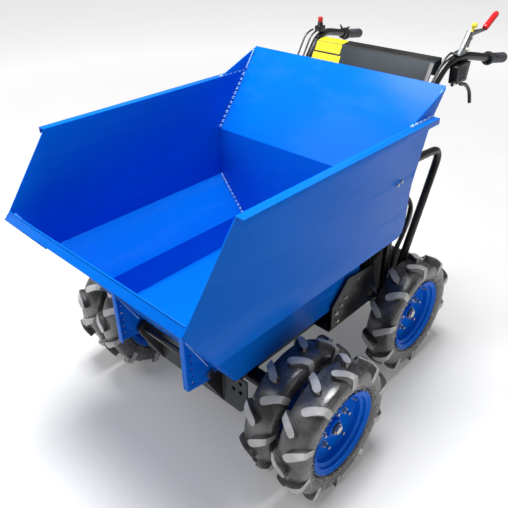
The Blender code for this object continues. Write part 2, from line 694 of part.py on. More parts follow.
def grip(side, sign):
    """Rubber grip with a collar, a sleeve over the handlebar's end."""
    start = Vector(GRIP_START)
    along = Vector(GRIP_END) - start
    length = along.length
    bore = TUBE_R + 0.0011
    outline = [(0.004, bore), (0.004, GRIP_R + 0.005), (0.012, GRIP_R + 0.006), (0.016, GRIP_R - 0.001),
               (length - 0.004, GRIP_R + 0.001), (length + 0.0025, GRIP_R - 0.002), (length + 0.0025, bore - 0.002),
               (length + 0.0005, bore - 0.002), (length + 0.0005, bore)]
    bm = along_y(outline, 18)
    turn = Vector((0, 1, 0)).rotation_difference(along).to_matrix().to_4x4()
    bmesh.ops.transform(bm, matrix=Matrix.Translation(start) @ turn, verts=bm.verts)
    if sign < 0:
        bmesh.ops.scale(bm, verts=bm.verts, vec=(-1, 1, 1))
    return add_object(f"grip_{side}", bm, "grip_rubber", smooth=True)


def console():
    """Folded panel across the handlebars."""
    y = HANDLE_FOOT_Y + 0.238
    line = [(y + 0.062, RIM_Z + 0.030), (y + 0.058, RIM_Z + 0.094), (y + 0.012, RIM_Z + 0.088),
            (y - 0.052, RIM_Z - 0.040), (y - 0.030, RIM_Z - 0.052)]
    half = HANDLE_X - TUBE_R - 0.0022
    return add_object("console", prism(folded(line, SHEET), "X", -half, half), "grey_paint")


def gear_lever():
    """Flat steel lever on a footed plate over the left handlebar, with a red grip."""
    x = HANDLE_X + 0.035
    y = HANDLE_FOOT_Y + 0.300
    foot = [(y + at, bar_surface(y + at, 1)) for at in (0.012, 0.034, 0.056)]
    z = foot[1][1]
    plate = foot + [(y + 0.085, z + 0.058), (y + 0.060, z + 0.070)]
    lever = add_object("gear_lever", prism(plate, "X", x - 0.011, x + 0.003), "steel")
    base = prism(foot + [(py, pz + 0.005) for py, pz in reversed(foot)], "X", HANDLE_X + 0.006, x - 0.008)
    arm = prism([(y + 0.062, z + 0.057), (y + 0.084, z + 0.049), (y + 0.180, z + 0.051), (y + 0.180, z + 0.060),
                 (y + 0.092, z + 0.067)], "X", x - 0.007, x - 0.001)
    combine(lever, [base, arm], "UNION")
    handle = along_y([(0, 0), (0, 0.008), (0.012, 0.0105), (0.088, 0.0085), (0.100, 0.005), (0.100, 0)], 14)
    lean(handle, (y + 0.1803, z + 0.057), math.radians(27))
    bmesh.ops.translate(handle, verts=handle.verts, vec=(x - 0.004, 0, 0))
    grip_piece = add_object("gear_lever_grip", handle, "red_plastic", smooth=True)
    slot = box((x - 0.0073, x - 0.0007), (y + 0.150, y + 0.1803), (z + 0.040, z + 0.075))
    combine(grip_piece, [slot], "DIFFERENCE")


def switch_box():
    """Control box hung under the left handlebar, and the curved lever below it."""
    x = HANDLE_X + 0.030
    y0, y1 = HANDLE_FOOT_Y + 0.302, HANDLE_FOOT_Y + 0.392
    low = bar_surface(y1, -1) - 0.064
    top = [(y, bar_surface(y, -1)) for y in (y1, (y0 + y1) / 2, y0)]
    body = top + [(y0 + 0.006, low), (y1 - 0.012, low)]
    add_object("switch_box", prism(body, "X", x - 0.018, x + 0.014), "black_plastic")
    start = y1 - 0.024
    route = [(x - 0.002, start, low - GAP), (x - 0.002, start, low - 0.012), (x - 0.001, start + 0.040, low - 0.022),
             (x + 0.001, start + 0.080, low - 0.054), (x + 0.002, start + 0.100, low - 0.100)]
    tube("drive_lever", smooth_route(route, 0.012), 0.0065, "black_paint", resolution=2)


def clutch_lever():
    """Short lever on the right handlebar."""
    x = -(HANDLE_X + 0.016)
    y = HANDLE_FOOT_Y + 0.316
    z = max(bar_surface(y - 0.016, 1), bar_surface(y + 0.016, 1))
    base = add_object("clutch_lever", box((x - 0.014, x + 0.014), (y - 0.016, y + 0.016), (z, z + 0.020)),
                      "black_plastic")
    arm = prism([(y - 0.012, z + 0.016), (y + 0.012, z + 0.016), (y + 0.006, z + 0.048), (y - 0.006, z + 0.048)],
                "X", x - 0.006, x + 0.006)
    combine(base, [arm], "UNION")


def cables():
    """Control cables down the handlebars to the deck."""
    base = DECK_Z1 + GAP
    foot = HANDLE_FOOT_Y

    def route(sign, out, lead):
        return [(sign * (HANDLE_X + 0.012 + out), foot + 0.290 - lead, BEND_Z + 0.026),
                (sign * (HANDLE_X + 0.012 + out), foot + 0.250 - lead, BEND_Z + 0.014),
                (sign * (HANDLE_X + 0.006 + out), foot + 0.200 - lead, RIM_Z + 0.040),
                (sign * (HANDLE_X + out), foot + 0.125 - lead, RIM_Z - 0.060),
                (sign * (0.246 + out), foot + 0.025 - lead * 0.6, FOLD_Z + 0.020),
                (sign * (0.238 + out), foot - 0.024 - lead * 0.3, FOLD_Z - 0.160),
                (sign * (0.236 + out), foot - 0.028 - lead * 0.3, base + 0.120),
                (sign * (0.236 + out), foot - 0.028 - lead * 0.3, base)]

    for name, sign, out, lead in (("cable_left", 1, 0.004, 0.0), ("cable_right_inner", -1, -0.008, 0.0),
                                  ("cable_right_outer", -1, 0.014, 0.006)):
        tube(name, smooth_route(route(sign, out, lead), 0.024), 0.0035, "hose_rubber", resolution=1)


# ---------------------------------------------------------------- wheels
def tyre_outline(x):
    bead = RIM_W / 2 - 0.0075
    half = [(bead, RIM_R + RUN_GAP), (bead, RIM_FLANGE_R + 0.004), (TYRE_W / 2, TYRE_R - 0.056),
            (TYRE_W / 2 - 0.001, TYRE_R - 0.028), (TYRE_W / 2 - 0.008, TYRE_R - 0.008), (0.022, TYRE_R)]
    return [(x + a, r) for a, r in half] + [(x - a, r) for a, r in reversed(half)]


def tyre(name, x, axle_y, carrier):
    return add_object(name, lathe(tyre_outline(x), (axle_y, AXLE_Z)), "tyre_rubber", carrier, smooth=True)


def rim_ring(x):
    """One rim from its disc's inboard face round to its outboard face, as (x, radius)."""
    half, lip, barrel = RIM_W / 2, 0.0065, RIM_R - 0.004
    return [(x - 0.010, 0.070), (x - 0.004, barrel), (x - half, barrel), (x - half, RIM_FLANGE_R),
            (x - half + lip, RIM_FLANGE_R), (x - half + lip, RIM_R), (x + half - lip, RIM_R),
            (x + half - lip, RIM_FLANGE_R), (x + half, RIM_FLANGE_R), (x + half, barrel), (x + 0.002, barrel),
            (x - 0.004, 0.070)]


def rims(name, centres, axle_y, carrier, sign):
    """The rims of one wheel or twin, joined by their common hub."""
    bore = STUB_R + RUN_GAP
    low, high = centres[0] - 0.030, centres[-1] + 0.030
    outline = [(low, HUB_R)]
    for x in centres:
        outline += [(x - 0.006, HUB_R)] + rim_ring(x) + [(x, HUB_R)]
    outline += [(high, HUB_R), (high, bore), (low, bore)]
    turned = [(sign * x, r) for x, r in outline]
    return add_object(name, lathe(turned, (axle_y, AXLE_Z)), "blue_paint", carrier, smooth=True)


def wheel_sets():
    for side, sign in SIDES:
        front = empty(f"front_{side}_axis", (sign * INNER_WHEEL_X, FRONT_AXLE_Y, AXLE_Z), datum)
        tyre(f"tyre_front_{side}_outer", sign * OUTER_WHEEL_X, FRONT_AXLE_Y, front)
        tyre(f"tyre_front_{side}_inner", sign * INNER_WHEEL_X, FRONT_AXLE_Y, front)
        rims(f"rims_front_{side}", (INNER_WHEEL_X, OUTER_WHEEL_X), FRONT_AXLE_Y, front, sign)
        rear = empty(f"rear_{side}_axis", (sign * INNER_WHEEL_X, REAR_AXLE_Y, AXLE_Z), datum)
        tyre(f"tyre_rear_{side}", sign * INNER_WHEEL_X, REAR_AXLE_Y, rear)
        rims(f"rim_rear_{side}", (INNER_WHEEL_X,), REAR_AXLE_Y, rear, sign)


# ---------------------------------------------------------------- the machine
skip_front()
skip_floor()
skip_back()
ram_lug()
rails()
front_plate()
pivot_pin()
deck()
skip_rest()
axle("front_axle", FRONT_AXLE_Y, OUTER_WHEEL_X + 0.020)
axle("rear_axle", REAR_AXLE_Y, INNER_WHEEL_X + 0.020)
ram_mount()
ram()
engine()
hydraulic_tank()
hydraulic_hose()
console()
gear_lever()
switch_box()
clutch_lever()
cables()
wheel_sets()
for side_name, side_sign in SIDES:
    skip_side(side_name, side_sign)
    skip_bracket(side_name, side_sign)
    latch_lug(side_name, side_sign)
    pivot_upright(side_name, side_sign)
    side_plate(side_name, side_sign)
    guard(side_name, side_sign)
    handlebar(side_name, side_sign)
    grip(side_name, side_sign)
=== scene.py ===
# %% [markdown]
# # A walk-behind site dumper
# A folded steel skip tips forward over twin front wheels, and the operator walks behind. The packed
# frame already holds every plate, tube and joint at its true size. This file gives it the surface that
# a maker's hands and a spray gun leave: paint, welds, tread, bolts and rubber.

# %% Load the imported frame
import json
import math
import random

import bmesh
import bpy
from mathutils import Matrix, Vector

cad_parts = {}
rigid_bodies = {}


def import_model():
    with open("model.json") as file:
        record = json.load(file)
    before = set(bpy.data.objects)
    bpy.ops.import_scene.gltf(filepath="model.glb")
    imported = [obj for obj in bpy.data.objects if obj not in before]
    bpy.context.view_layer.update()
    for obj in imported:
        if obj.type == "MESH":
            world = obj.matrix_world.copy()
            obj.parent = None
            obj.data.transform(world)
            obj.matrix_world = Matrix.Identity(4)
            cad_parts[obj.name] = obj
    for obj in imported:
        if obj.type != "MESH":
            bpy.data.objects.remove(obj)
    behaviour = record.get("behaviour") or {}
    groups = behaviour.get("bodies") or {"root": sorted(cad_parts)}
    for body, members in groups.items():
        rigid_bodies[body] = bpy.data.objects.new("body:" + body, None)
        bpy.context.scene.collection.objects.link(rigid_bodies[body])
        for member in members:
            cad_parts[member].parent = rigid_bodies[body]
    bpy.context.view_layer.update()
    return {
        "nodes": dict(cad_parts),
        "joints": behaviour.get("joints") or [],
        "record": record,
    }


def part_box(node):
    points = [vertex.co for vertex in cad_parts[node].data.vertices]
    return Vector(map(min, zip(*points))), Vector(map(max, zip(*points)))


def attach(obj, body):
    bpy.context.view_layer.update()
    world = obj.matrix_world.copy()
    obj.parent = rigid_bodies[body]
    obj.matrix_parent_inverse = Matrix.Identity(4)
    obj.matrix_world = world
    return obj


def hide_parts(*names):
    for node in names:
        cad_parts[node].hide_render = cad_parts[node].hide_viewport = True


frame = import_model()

# %% [markdown]
# The camera comes first, because every later look is judged through it. It stands at head height in
# front of the machine's left corner, and looks down into the skip.

# %% Camera
CAMERA_PLACE = (1.163, -1.4104, 1.613)
CAMERA_AZIMUTH = math.radians(43.51)
CAMERA_ELEVATION = math.radians(32.38)
CAMERA_ROLL = math.radians(-0.66)
CAMERA_LENS = 41.53


def make_camera():
    back = Vector((math.sin(CAMERA_AZIMUTH) * math.cos(CAMERA_ELEVATION),
                   -math.cos(CAMERA_AZIMUTH) * math.cos(CAMERA_ELEVATION), math.sin(CAMERA_ELEVATION)))
    level = Vector((math.cos(CAMERA_AZIMUTH), math.sin(CAMERA_AZIMUTH), 0))
    upright = back.cross(level)
    right = level * math.cos(CAMERA_ROLL) + upright * math.sin(CAMERA_ROLL)
    up = upright * math.cos(CAMERA_ROLL) - level * math.sin(CAMERA_ROLL)
    camera = bpy.data.objects.new("camera", bpy.data.cameras.new("camera"))
    camera.data.lens = CAMERA_LENS
    axes = Matrix((right, up, back)).transposed().to_4x4()
    camera.matrix_world = Matrix.Translation(CAMERA_PLACE) @ axes
    bpy.context.scene.collection.objects.link(camera)
    bpy.context.scene.camera = camera
    return camera


print("camera at", [round(c, 2) for c in make_camera().location])

# %% [markdown]
# Shader maths reads best as ordinary arithmetic. `Wire` wraps one output socket, and an expression such
# as `0.2 + mask * 0.3` adds the Math nodes that it needs. `Finish` owns a material and has one method for
# every other kind of node.

# %% Shader arithmetic
class Wire:
    """One output socket of a material, which can be added and multiplied."""

    def __init__(self, finish, socket):
        self.finish = finish
        self.socket = socket

    def math(self, operation, first, second):
        return self.finish.node("ShaderNodeMath", {"operation": operation}, {0: first, 1: second})

    def __add__(self, other):
        return self.math("ADD", self, other)

    def __mul__(self, other):
        return self.math("MULTIPLY", self, other)

    __radd__ = __add__
    __rmul__ = __mul__


class Finish:
    """A material with a Principled surface."""

    def __init__(self, name):
        self.material = bpy.data.materials.new(name)
        self.material.use_nodes = True
        self.tree = self.material.node_tree
        self.shader = self.tree.nodes["Principled BSDF"]
        self.place = self.node("ShaderNodeTexCoord", output="Object")

    def node(self, kind, settings=None, values=None, output=0):
        """Add a node: its settings first, then its input values or links."""
        made = self.tree.nodes.new(kind)
        for key, value in (settings or {}).items():
            if key == "stops":
                self.set_stops(made.color_ramp, value)
            else:
                setattr(made, key, value)
        for key, value in (values or {}).items():
            self.feed(made.inputs[key], value)
        return Wire(self, made.outputs[output])

    def set_stops(self, ramp, stops):
        while len(ramp.elements) < len(stops):
            ramp.elements.new(1.0)
        for element, (at, shade) in zip(ramp.elements, stops):
            element.position = at
            element.color = (shade, shade, shade, 1.0)

    def feed(self, socket, value):
        if isinstance(value, Wire):
            self.tree.links.new(value.socket, socket)
        else:
            socket.default_value = (*value, 1.0) if socket.type == "RGBA" else value

    def noise(self, scale, detail=3.0, stretch=None):
        place = self.place
        if stretch:
            place = self.node("ShaderNodeMapping", None, {"Vector": place, "Scale": stretch})
        return self.node("ShaderNodeTexNoise", None,
                         {"Vector": place, "Scale": scale, "Detail": detail})

    def ramp(self, value, *stops):
        return self.node("ShaderNodeValToRGB", {"stops": stops}, {0: value})

    def blend(self, share, first, second):
        """A colour between two colours."""
        return self.node("ShaderNodeMix", {"data_type": "RGBA"},
                         {0: share, 6: first, 7: second}, output=2)

    def bump(self, height, depth, below=None):
        """A normal from a height times depth, laid over another bump if there is one."""
        values = {"Height": height, "Distance": depth, "Strength": 1.0}
        if below:
            values["Normal"] = below
        return self.node("ShaderNodeBump", None, values)

    def surface(self, values):
        for key, value in values.items():
            self.feed(self.shader.inputs[key], value)
        return self.material


print("shader helpers ready")

# %% [markdown]
# The skip and the rims are sprayed with a hard blue enamel. A fine orange peel sits over the slow waves
# of thin sheet, and faint scuffs and close blues keep a broad panel from looking flat.

# %% Blue enamel
def blue_enamel(name, deep, bright, roughness):
    paint = Finish(name)
    cloud = paint.noise(2.3, 2.0)
    scuff = paint.ramp(paint.noise(7.0, 6.0, (1.0, 0.25, 3.0)), (0.52, 0.0), (0.74, 1.0))
    peel = paint.noise(420.0, 1.0)
    wave = paint.noise(5.0, 1.0)
    normal = paint.bump(peel, 0.00010, paint.bump(wave, 0.0030))
    clean = paint.blend(cloud, deep, bright)
    dusty = paint.blend(scuff * 0.06, clean, (0.10, 0.30, 0.60))
    return paint.surface({"Base Color": dusty, "Roughness": scuff * 0.16 + roughness + cloud * 0.05,
                          "Specular IOR Level": 0.06, "Normal": normal})


BLUE = blue_enamel("blue_enamel", (0.001, 0.124, 0.60), (0.001, 0.152, 0.71), 0.20)
RIM_BLUE = blue_enamel("rim_enamel", (0.001, 0.116, 0.62), (0.001, 0.150, 0.76), 0.16)
print("blue enamels", BLUE.name, RIM_BLUE.name)

# %% [markdown]
# A weld's bead is real geometry further on, so its finish only adds a little spatter and paler patches, which
# are painted highlights standing in for the glints on the bead.

# %% Weld paint with painted highlights
def weld_paint_with_highlights(name, base, tip):
    paint = Finish(name)
    grain = paint.noise(190.0, 3.0)
    # tip is a paler colour laid in grain patches: a painted highlight standing in for glints on the bead
    return paint.surface({"Base Color": paint.blend(grain, base, tip),
                          "Roughness": 0.10 + grain * 0.15, "Normal": paint.bump(grain, 0.0003)})


BLUE_WELD = weld_paint_with_highlights("blue_weld", (0.03, 0.22, 0.70), (0.42, 0.66, 0.98))
BLACK_WELD = weld_paint_with_highlights("black_weld", (0.006, 0.006, 0.007), (0.03, 0.03, 0.03))
print("weld finishes", BLUE_WELD.name, BLACK_WELD.name)

# %% [markdown]
# The frame is painted black, and the cross plate and the console have a coarse dark grey powder coat.
# Both take dust, which is paler and duller.

# %% Frame paints
def frame_paint(name, base, dust, grain_scale, grain_depth, roughness, dust_share=0.35):
    paint = Finish(name)
    grain = paint.noise(grain_scale, 2.0)
    soil = paint.ramp(paint.noise(9.0, 8.0), (0.46, 0.0), (0.78, 1.0))
    return paint.surface({"Base Color": paint.blend(soil * dust_share, base, dust),
                          "Roughness": roughness + soil * 0.22 + grain * 0.08,
                          "Normal": paint.bump(grain, grain_depth)})


BLACK = frame_paint("frame_black", (0.009, 0.009, 0.010), (0.075, 0.070, 0.062), 260.0, 0.0002, 0.26)
TUBE_BLACK = frame_paint("tube_black", (0.008, 0.008, 0.009), (0.05, 0.05, 0.05), 340.0, 0.0001, 0.20, 0.15)
POWDER = frame_paint("powder_grey", (0.030, 0.036, 0.040), (0.10, 0.11, 0.11), 520.0, 0.0007, 0.38)
CONSOLE_GREY = frame_paint("console_grey", (0.018, 0.028, 0.036), (0.07, 0.085, 0.095), 430.0, 0.0005, 0.44)
print("frame paints", BLACK.name, POWDER.name, CONSOLE_GREY.name)

# %% [markdown]
# Tyre rubber is never pure black in daylight. A broad noise lays dust on it, and a fine one is the
# moulded grain. The lugs' tops are pale: partly dust, and partly a painted highlight on the lit tops.

# %% Rubbers
def rubber(name, dark, pale, roughness, grain_scale, grain_depth):
    skin = Finish(name)
    grain = skin.noise(grain_scale, 3.0)
    dust = skin.ramp(skin.noise(16.0, 7.0), (0.42, 0.0), (0.72, 1.0))
    return skin.surface({"Base Color": skin.blend(dust * 0.55 + grain * 0.12, dark, pale),
                         "Roughness": roughness + dust * 0.14, "Specular IOR Level": 0.95,
                         "Normal": skin.bump(grain, grain_depth)})


TYRE = rubber("tyre_rubber", (0.022, 0.022, 0.022), (0.200, 0.196, 0.188), 0.22, 240.0, 0.0005)
# pale lug tops: partly dust, partly a painted highlight on the lit tops against shaded flanks
TREAD_TOP_DUST_AND_HIGHLIGHT = rubber("tread_top_rubber", (0.330, 0.327, 0.321), (0.780, 0.774, 0.762), 0.46, 300.0, 0.0006)
# the whiskers are painted pale: a painted glint for the light that the thin rubber hairs catch
WHISKER_PAINTED_GLINT = rubber("whisker_rubber", (0.46, 0.43, 0.35), (0.74, 0.70, 0.60), 0.45, 240.0, 0.0002)
GRIP = rubber("grip_rubber", (0.018, 0.022, 0.028), (0.060, 0.068, 0.080), 0.45, 300.0, 0.0005)
HOSE = rubber("hose_rubber", (0.010, 0.010, 0.011), (0.040, 0.040, 0.040), 0.34, 420.0, 0.0002)
print("rubbers", TYRE.name, GRIP.name, HOSE.name)

# %% [markdown]
# Metals differ by polish: a ground and chromed rod, zinc-plated bolts with a warm tint, sandy castings.

# %% Metals
def metal(name, base, tint, roughness, grain_scale, grain_depth):
    bare = Finish(name)
    grain = bare.noise(grain_scale, 3.0)
    stain = bare.noise(22.0, 5.0)
    return bare.surface({"Base Color": bare.blend(stain, base, tint), "Metallic": 1.0,
                         "Roughness": roughness + grain * 0.16, "Normal": bare.bump(grain, grain_depth)})


ZINC = metal("zinc_plate", (0.66, 0.66, 0.64), (0.58, 0.50, 0.34), 0.20, 300.0, 0.0001)
CHROME = metal("chromed_rod", (0.78, 0.79, 0.80), (0.62, 0.63, 0.65), 0.07, 500.0, 0.00004)
LEVER_STEEL = metal("lever_steel", (0.20, 0.205, 0.215), (0.12, 0.125, 0.13), 0.34, 200.0, 0.0001)
CAST = metal("cast_engine", (0.30, 0.30, 0.30), (0.18, 0.17, 0.16), 0.42, 380.0, 0.0006)
HEAT = metal("heat_stained", (0.34, 0.30, 0.26), (0.16, 0.12, 0.09), 0.40, 260.0, 0.0004)
print("metals", ZINC.name, CHROME.name, CAST.name)

# %% Plastics
def plastic(name, base, wear_and_highlight, roughness, grain_depth=0.0001):
    moulded = Finish(name)
    grain = moulded.bump(moulded.noise(330.0, 2.0), grain_depth)
    wear = moulded.ramp(moulded.noise(30.0, 5.0), (0.50, 0.0), (0.80, 1.0))
    return moulded.surface({"Base Color": moulded.blend(wear * 0.4, base, wear_and_highlight),
                            "Roughness": roughness + wear * 0.15, "Normal": grain})


RED = plastic("red_handle", (0.62, 0.012, 0.016), (0.78, 0.12, 0.11), 0.22)
YELLOW = plastic("yellow_knob", (0.86, 0.72, 0.02), (0.92, 0.84, 0.20), 0.28)
LABEL = plastic("yellow_plate", (0.80, 0.62, 0.010), (0.86, 0.70, 0.06), 0.40)
BLACK_PLASTIC = plastic("black_plastic", (0.012, 0.012, 0.013), (0.05, 0.05, 0.05), 0.36, 0.0003)
print("plastics", RED.name, YELLOW.name, LABEL.name, BLACK_PLASTIC.name)

# %% [markdown]
# Stations along the machine are counted from the front corner of the skip's rim, as the maker would
# mark them out, and `at` turns such a place into the frame's own coordinates.

# %% Stations and levels
SHEET = 0.003
LIP_REACH = 0.1741          # from the rim's front corner forward to the tip of the lip
FLOOR, SILL, FOOT, FOLD, RIM, TOP = 0.405, 0.512, 0.648, 0.832, 1.020, 1.097
TUB, WALL = 0.278, 0.390
LIP_STATION, LIP_LEVEL = -0.154, 0.814
SLOPE_END, BACK_STATION, TOP_STATION = 0.090, 0.693, 0.896
RIM_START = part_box("skip_side_left")[0].y + LIP_REACH
SIDES = (("left", 1), ("right", -1))
ORIGIN, ACROSS, BACK, UP = Vector(), Vector((1, 0, 0)), Vector((0, 1, 0)), Vector((0, 0, 1))


def at(x, station, level):
    return Vector((x, station + RIM_START, level))


def extent(node):
    """Low corner, high corner and middle of a box."""
    low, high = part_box(node)
    return low, high, (low + high) / 2


def front_station(level):
    """Station of the front slope's inner face."""
    return SLOPE_END + (LIP_STATION - SLOPE_END) * (level - FLOOR) / (LIP_LEVEL - FLOOR)


def back_station(level):
    """Station of the rear panel's inner face."""
    return BACK_STATION + (TOP_STATION - BACK_STATION) * max(0.0, level - FOLD) / (TOP - FOLD)


print("rim starts at y =", round(RIM_START, 4))

# %% [markdown]
# Every piece ends the same way: its mesh becomes an object with crisp flat faces and smooth round ones,
# it is parented to the body it rides on, and the solids of the frame that it replaces are hidden.

# %% Finishing a piece
def smooth(mesh, angle=35):
    mesh.shade_smooth()
    mesh.set_sharp_from_angle(angle=math.radians(angle))


def piece(name, bm, finish, body, replaced=(), angle=35):
    bmesh.ops.recalc_face_normals(bm, faces=bm.faces)
    mesh = bpy.data.meshes.new(name)
    bm.to_mesh(mesh)
    bm.free()
    smooth(mesh, angle)
    mesh.materials.append(finish)
    made = bpy.data.objects.new(name, mesh)
    bpy.context.scene.collection.objects.link(made)
    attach(made, body)
    if replaced:
        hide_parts(*replaced)
    return made


def apply_modifiers(made, angle):
    """Keep the evaluated mesh, drop the modifiers and smooth what is left."""
    graph = bpy.context.evaluated_depsgraph_get()
    final = bpy.data.meshes.new_from_object(made.evaluated_get(graph))
    made.modifiers.clear()
    made.data = final
    smooth(final, angle)
    return made


def bevelled(made, width, steps=2, limit=30):
    """Bevel the edges that turn by more than limit degrees."""
    bevel = made.modifiers.new("edge", "BEVEL")
    bevel.width = width
    bevel.segments = steps
    bevel.limit_method = "ANGLE"
    bevel.angle_limit = math.radians(limit)
    bevel.harden_normals = False
    return apply_modifiers(made, 40)


def count(mark):
    """How many objects have this mark in their names."""
    return sum(mark in made.name for made in bpy.data.objects)


print("piece helpers ready")

# %% [markdown]
# Cut and folded plate has no knife edges, and the rim of light along them makes steel read as steel.
# Each solid of the frame is copied, its flat faces are merged, and its edges get a narrow bevel.

# %% Edged copies of the frame's plates
BODIES = frame["record"]["behaviour"]["bodies"]
BODY_OF = {node: body for body, nodes in BODIES.items() for node in nodes}


def solid_copy(node):
    """The node's mesh with its flat faces merged."""
    bm = bmesh.new()
    bm.from_mesh(frame["nodes"][node].data)
    bmesh.ops.remove_doubles(bm, verts=bm.verts, dist=0.00002)
    bmesh.ops.dissolve_limit(bm, angle_limit=math.radians(1.0), verts=bm.verts, edges=bm.edges)
    return bm


def stand_in(node, bm, finish):
    return piece(f"{node}_body", bm, finish, BODY_OF[node], [node])


def edged(node, finish, edge, steps=2):
    return bevelled(stand_in(node, solid_copy(node), finish), edge, steps, 32)


for node in ("skip_side_left", "skip_side_right", "skip_front", "skip_floor", "skip_back", "ram_lug",
             "skip_bracket_left", "skip_bracket_right"):
    edged(node, BLUE, 0.0009)
for node in ("rail_left", "rail_right", "rear_deck", "side_plate_left", "side_plate_right", "skip_rest",
             "pivot_upright_left", "pivot_upright_right", "ram_mount", "latch_lug_left",
             "latch_lug_right"):
    edged(node, BLACK, 0.0011)
edged("front_plate", POWDER, 0.0012)
edged("console", CONSOLE_GREY, 0.0009)
print("edged plates", count("_body"))

# %% [markdown]
# Tubes, hoses and cables arrive as ten-sided solids. A subdivision surface makes them round, but it also
# pulls the skin inwards, so the points are first pushed out by the share that a regular polygon loses.

# %% Round tubes
def rounded(node, finish, radius, sides):
    bm = solid_copy(node)
    bmesh.ops.recalc_face_normals(bm, faces=bm.faces)
    shrink = 1 / (2 / 3 + math.cos(2 * math.pi / sides) / 3) - 1

    def reach(face):
        return max((vert.co - face.calc_center_median()).length for vert in face.verts)

    caps = [face for face in bm.faces if len(face.verts) == sides and reach(face) < radius * 1.2]
    layers = bm.edges.layers.float
    crease = layers.get("crease_edge") or layers.new("crease_edge")
    ends = {vert for face in caps for vert in face.verts}
    for face in caps:
        for edge in face.edges:
            edge[crease] = 1.0
    shifts = {vert: vert.normal * radius * shrink for vert in bm.verts if vert not in ends}
    for vert, shift in shifts.items():
        vert.co += shift
    for face in caps:
        middle = face.calc_center_median()
        for vert in face.verts:
            vert.co += (vert.co - middle) * shrink
    made = stand_in(node, bm, finish)
    subdivision = made.modifiers.new("round", "SUBSURF")
    subdivision.levels = subdivision.render_levels = 2
    return apply_modifiers(made, 50)


TUBE_RADIUS, CABLE_RADIUS, HOSE_RADIUS, LEVER_RADIUS = 0.014, 0.0035, 0.0085, 0.0065
for side, sign in SIDES:
    rounded(f"guard_{side}", TUBE_BLACK, TUBE_RADIUS, 10)
    rounded(f"handlebar_{side}", TUBE_BLACK, TUBE_RADIUS, 10)
for node in ("cable_left", "cable_right_inner", "cable_right_outer"):
    rounded(node, HOSE, CABLE_RADIUS, 6)
rounded("hydraulic_hose", HOSE, HOSE_RADIUS, 10)
rounded("drive_lever", TUBE_BLACK, LEVER_RADIUS, 8)
print("plates and tubes", count("_body"))

# %% [markdown]
# Turned parts are closed outlines of (along, radius) pairs, spun round the X axis. A curve through few
# points gives the bulges, so an outline stays short.

# %% Turning and curving
def turns(steps, start=0.0):
    """Equal steps of a full turn."""
    return [start + 2 * math.pi * k / steps for k in range(steps)]


def spoke(turn):
    return Vector((0, -math.cos(turn), math.sin(turn)))


def bridge(bm, first, second):
    """Quads between two closed rings of points."""
    for a, b, c, d in zip(first, first[1:] + first[:1], second[1:] + second[:1], second):
        bm.faces.new((a, b, c, d))


def turned(outline, centre, segments):
    """Spin a closed outline of (x, radius) pairs round the X axis through centre."""
    bm = bmesh.new()
    rings = [[bm.verts.new((centre.x + x, centre.y - radius * math.cos(turn),
                            centre.z + radius * math.sin(turn)))
              for turn in turns(segments)] for x, radius in outline]
    for first, second in zip(rings, rings[1:] + rings[:1]):
        bridge(bm, first, second)
    return bm


def stand(bm, start, along):
    """Move what was turned at the origin to start, with its axis along the given way."""
    turn = ACROSS.rotation_difference(along).to_matrix().to_4x4()
    bmesh.ops.transform(bm, matrix=Matrix.Translation(start) @ turn, verts=bm.verts)


def flowing(points, steps):
    """Points on a smooth curve through the given points."""
    points = [Vector(p) for p in points]
    padded = [2 * points[0] - points[1]] + points + [2 * points[-1] - points[-2]]
    curve = [points[0]]
    for a, b, c, d in zip(padded, padded[1:], padded[2:], padded[3:]):
        for k in range(1, steps + 1):
            t = k / steps
            curve.append(0.5 * (2 * b + (c - a) * t + (2 * a - 5 * b + 4 * c - d) * t ** 2
                                + (3 * b - a - 3 * c + d) * t ** 3))
    return curve


print("turning helpers ready")

# %% [markdown]
# The tyres have the open chevron tread of farm machinery. The carcass is turned smooth. Each lug is a
# grid of points laid over it: it starts rounded just past the middle, climbs towards the shoulder while
# it turns outwards, and drops over the shoulder onto the side wall.

# %% Tyre carcass
BEAD_HALF = 0.0385


def carcass_outline(half, outer):
    """Closed outline: bead, side wall, crown, side wall, bead. The radii are depths below the lugs."""
    wall = [(BEAD_HALF, outer - 0.0995), (BEAD_HALF, outer - 0.083), (half * 0.82, outer - 0.078),
            (half * 0.95, outer - 0.064), (half * 0.975, outer - 0.047), (half * 0.92, outer - 0.034),
            (half * 0.78, outer - 0.0245), (half * 0.48, outer - 0.0195), (0.0, outer - 0.0180)]
    curve = [tuple(p) for p in flowing(wall, 3)]
    return curve + [(-x, r) for x, r in reversed(curve[:-1])]


print("carcass outline has", len(carcass_outline(0.055, 0.228)), "points")

# %% Tread lugs
LUGS_A_SIDE, LUG_ROWS = 10, 12
LUG_NOSE = 0.22             # share of a lug that its rounded inner end takes
LUG_SECTION = ((-1.0, 0.0), (-0.92, 0.50), (-0.87, 0.90), (-0.80, 0.985), (0.0, 1.0), (0.80, 0.985),
               (0.87, 0.90), (0.92, 0.50), (1.0, 0.0))
LUG_TOP = (3, 4)            # the strips of the section that take the pale top finish: dust and a painted highlight


def lug_row(t, half, outer):
    """(along the axle, along the tread, top radius, foot radius, half width) at t from middle to edge."""
    x = -0.004 + (half + 0.001) * t
    climb = 0.040 * (t - 0.22 * t * t) / 0.78
    top = outer - 0.010 * max(0.0, (t - 0.45) / 0.55) ** 2
    foot = outer - 0.024 - 0.016 * max(0.0, (t - 0.5) / 0.5) ** 2
    width = 0.0135 + 0.0015 * t
    if t < LUG_NOSE:
        width *= math.sqrt(1 - (1 - t / LUG_NOSE) ** 2 * 0.97)
    return x, climb, top, foot, width


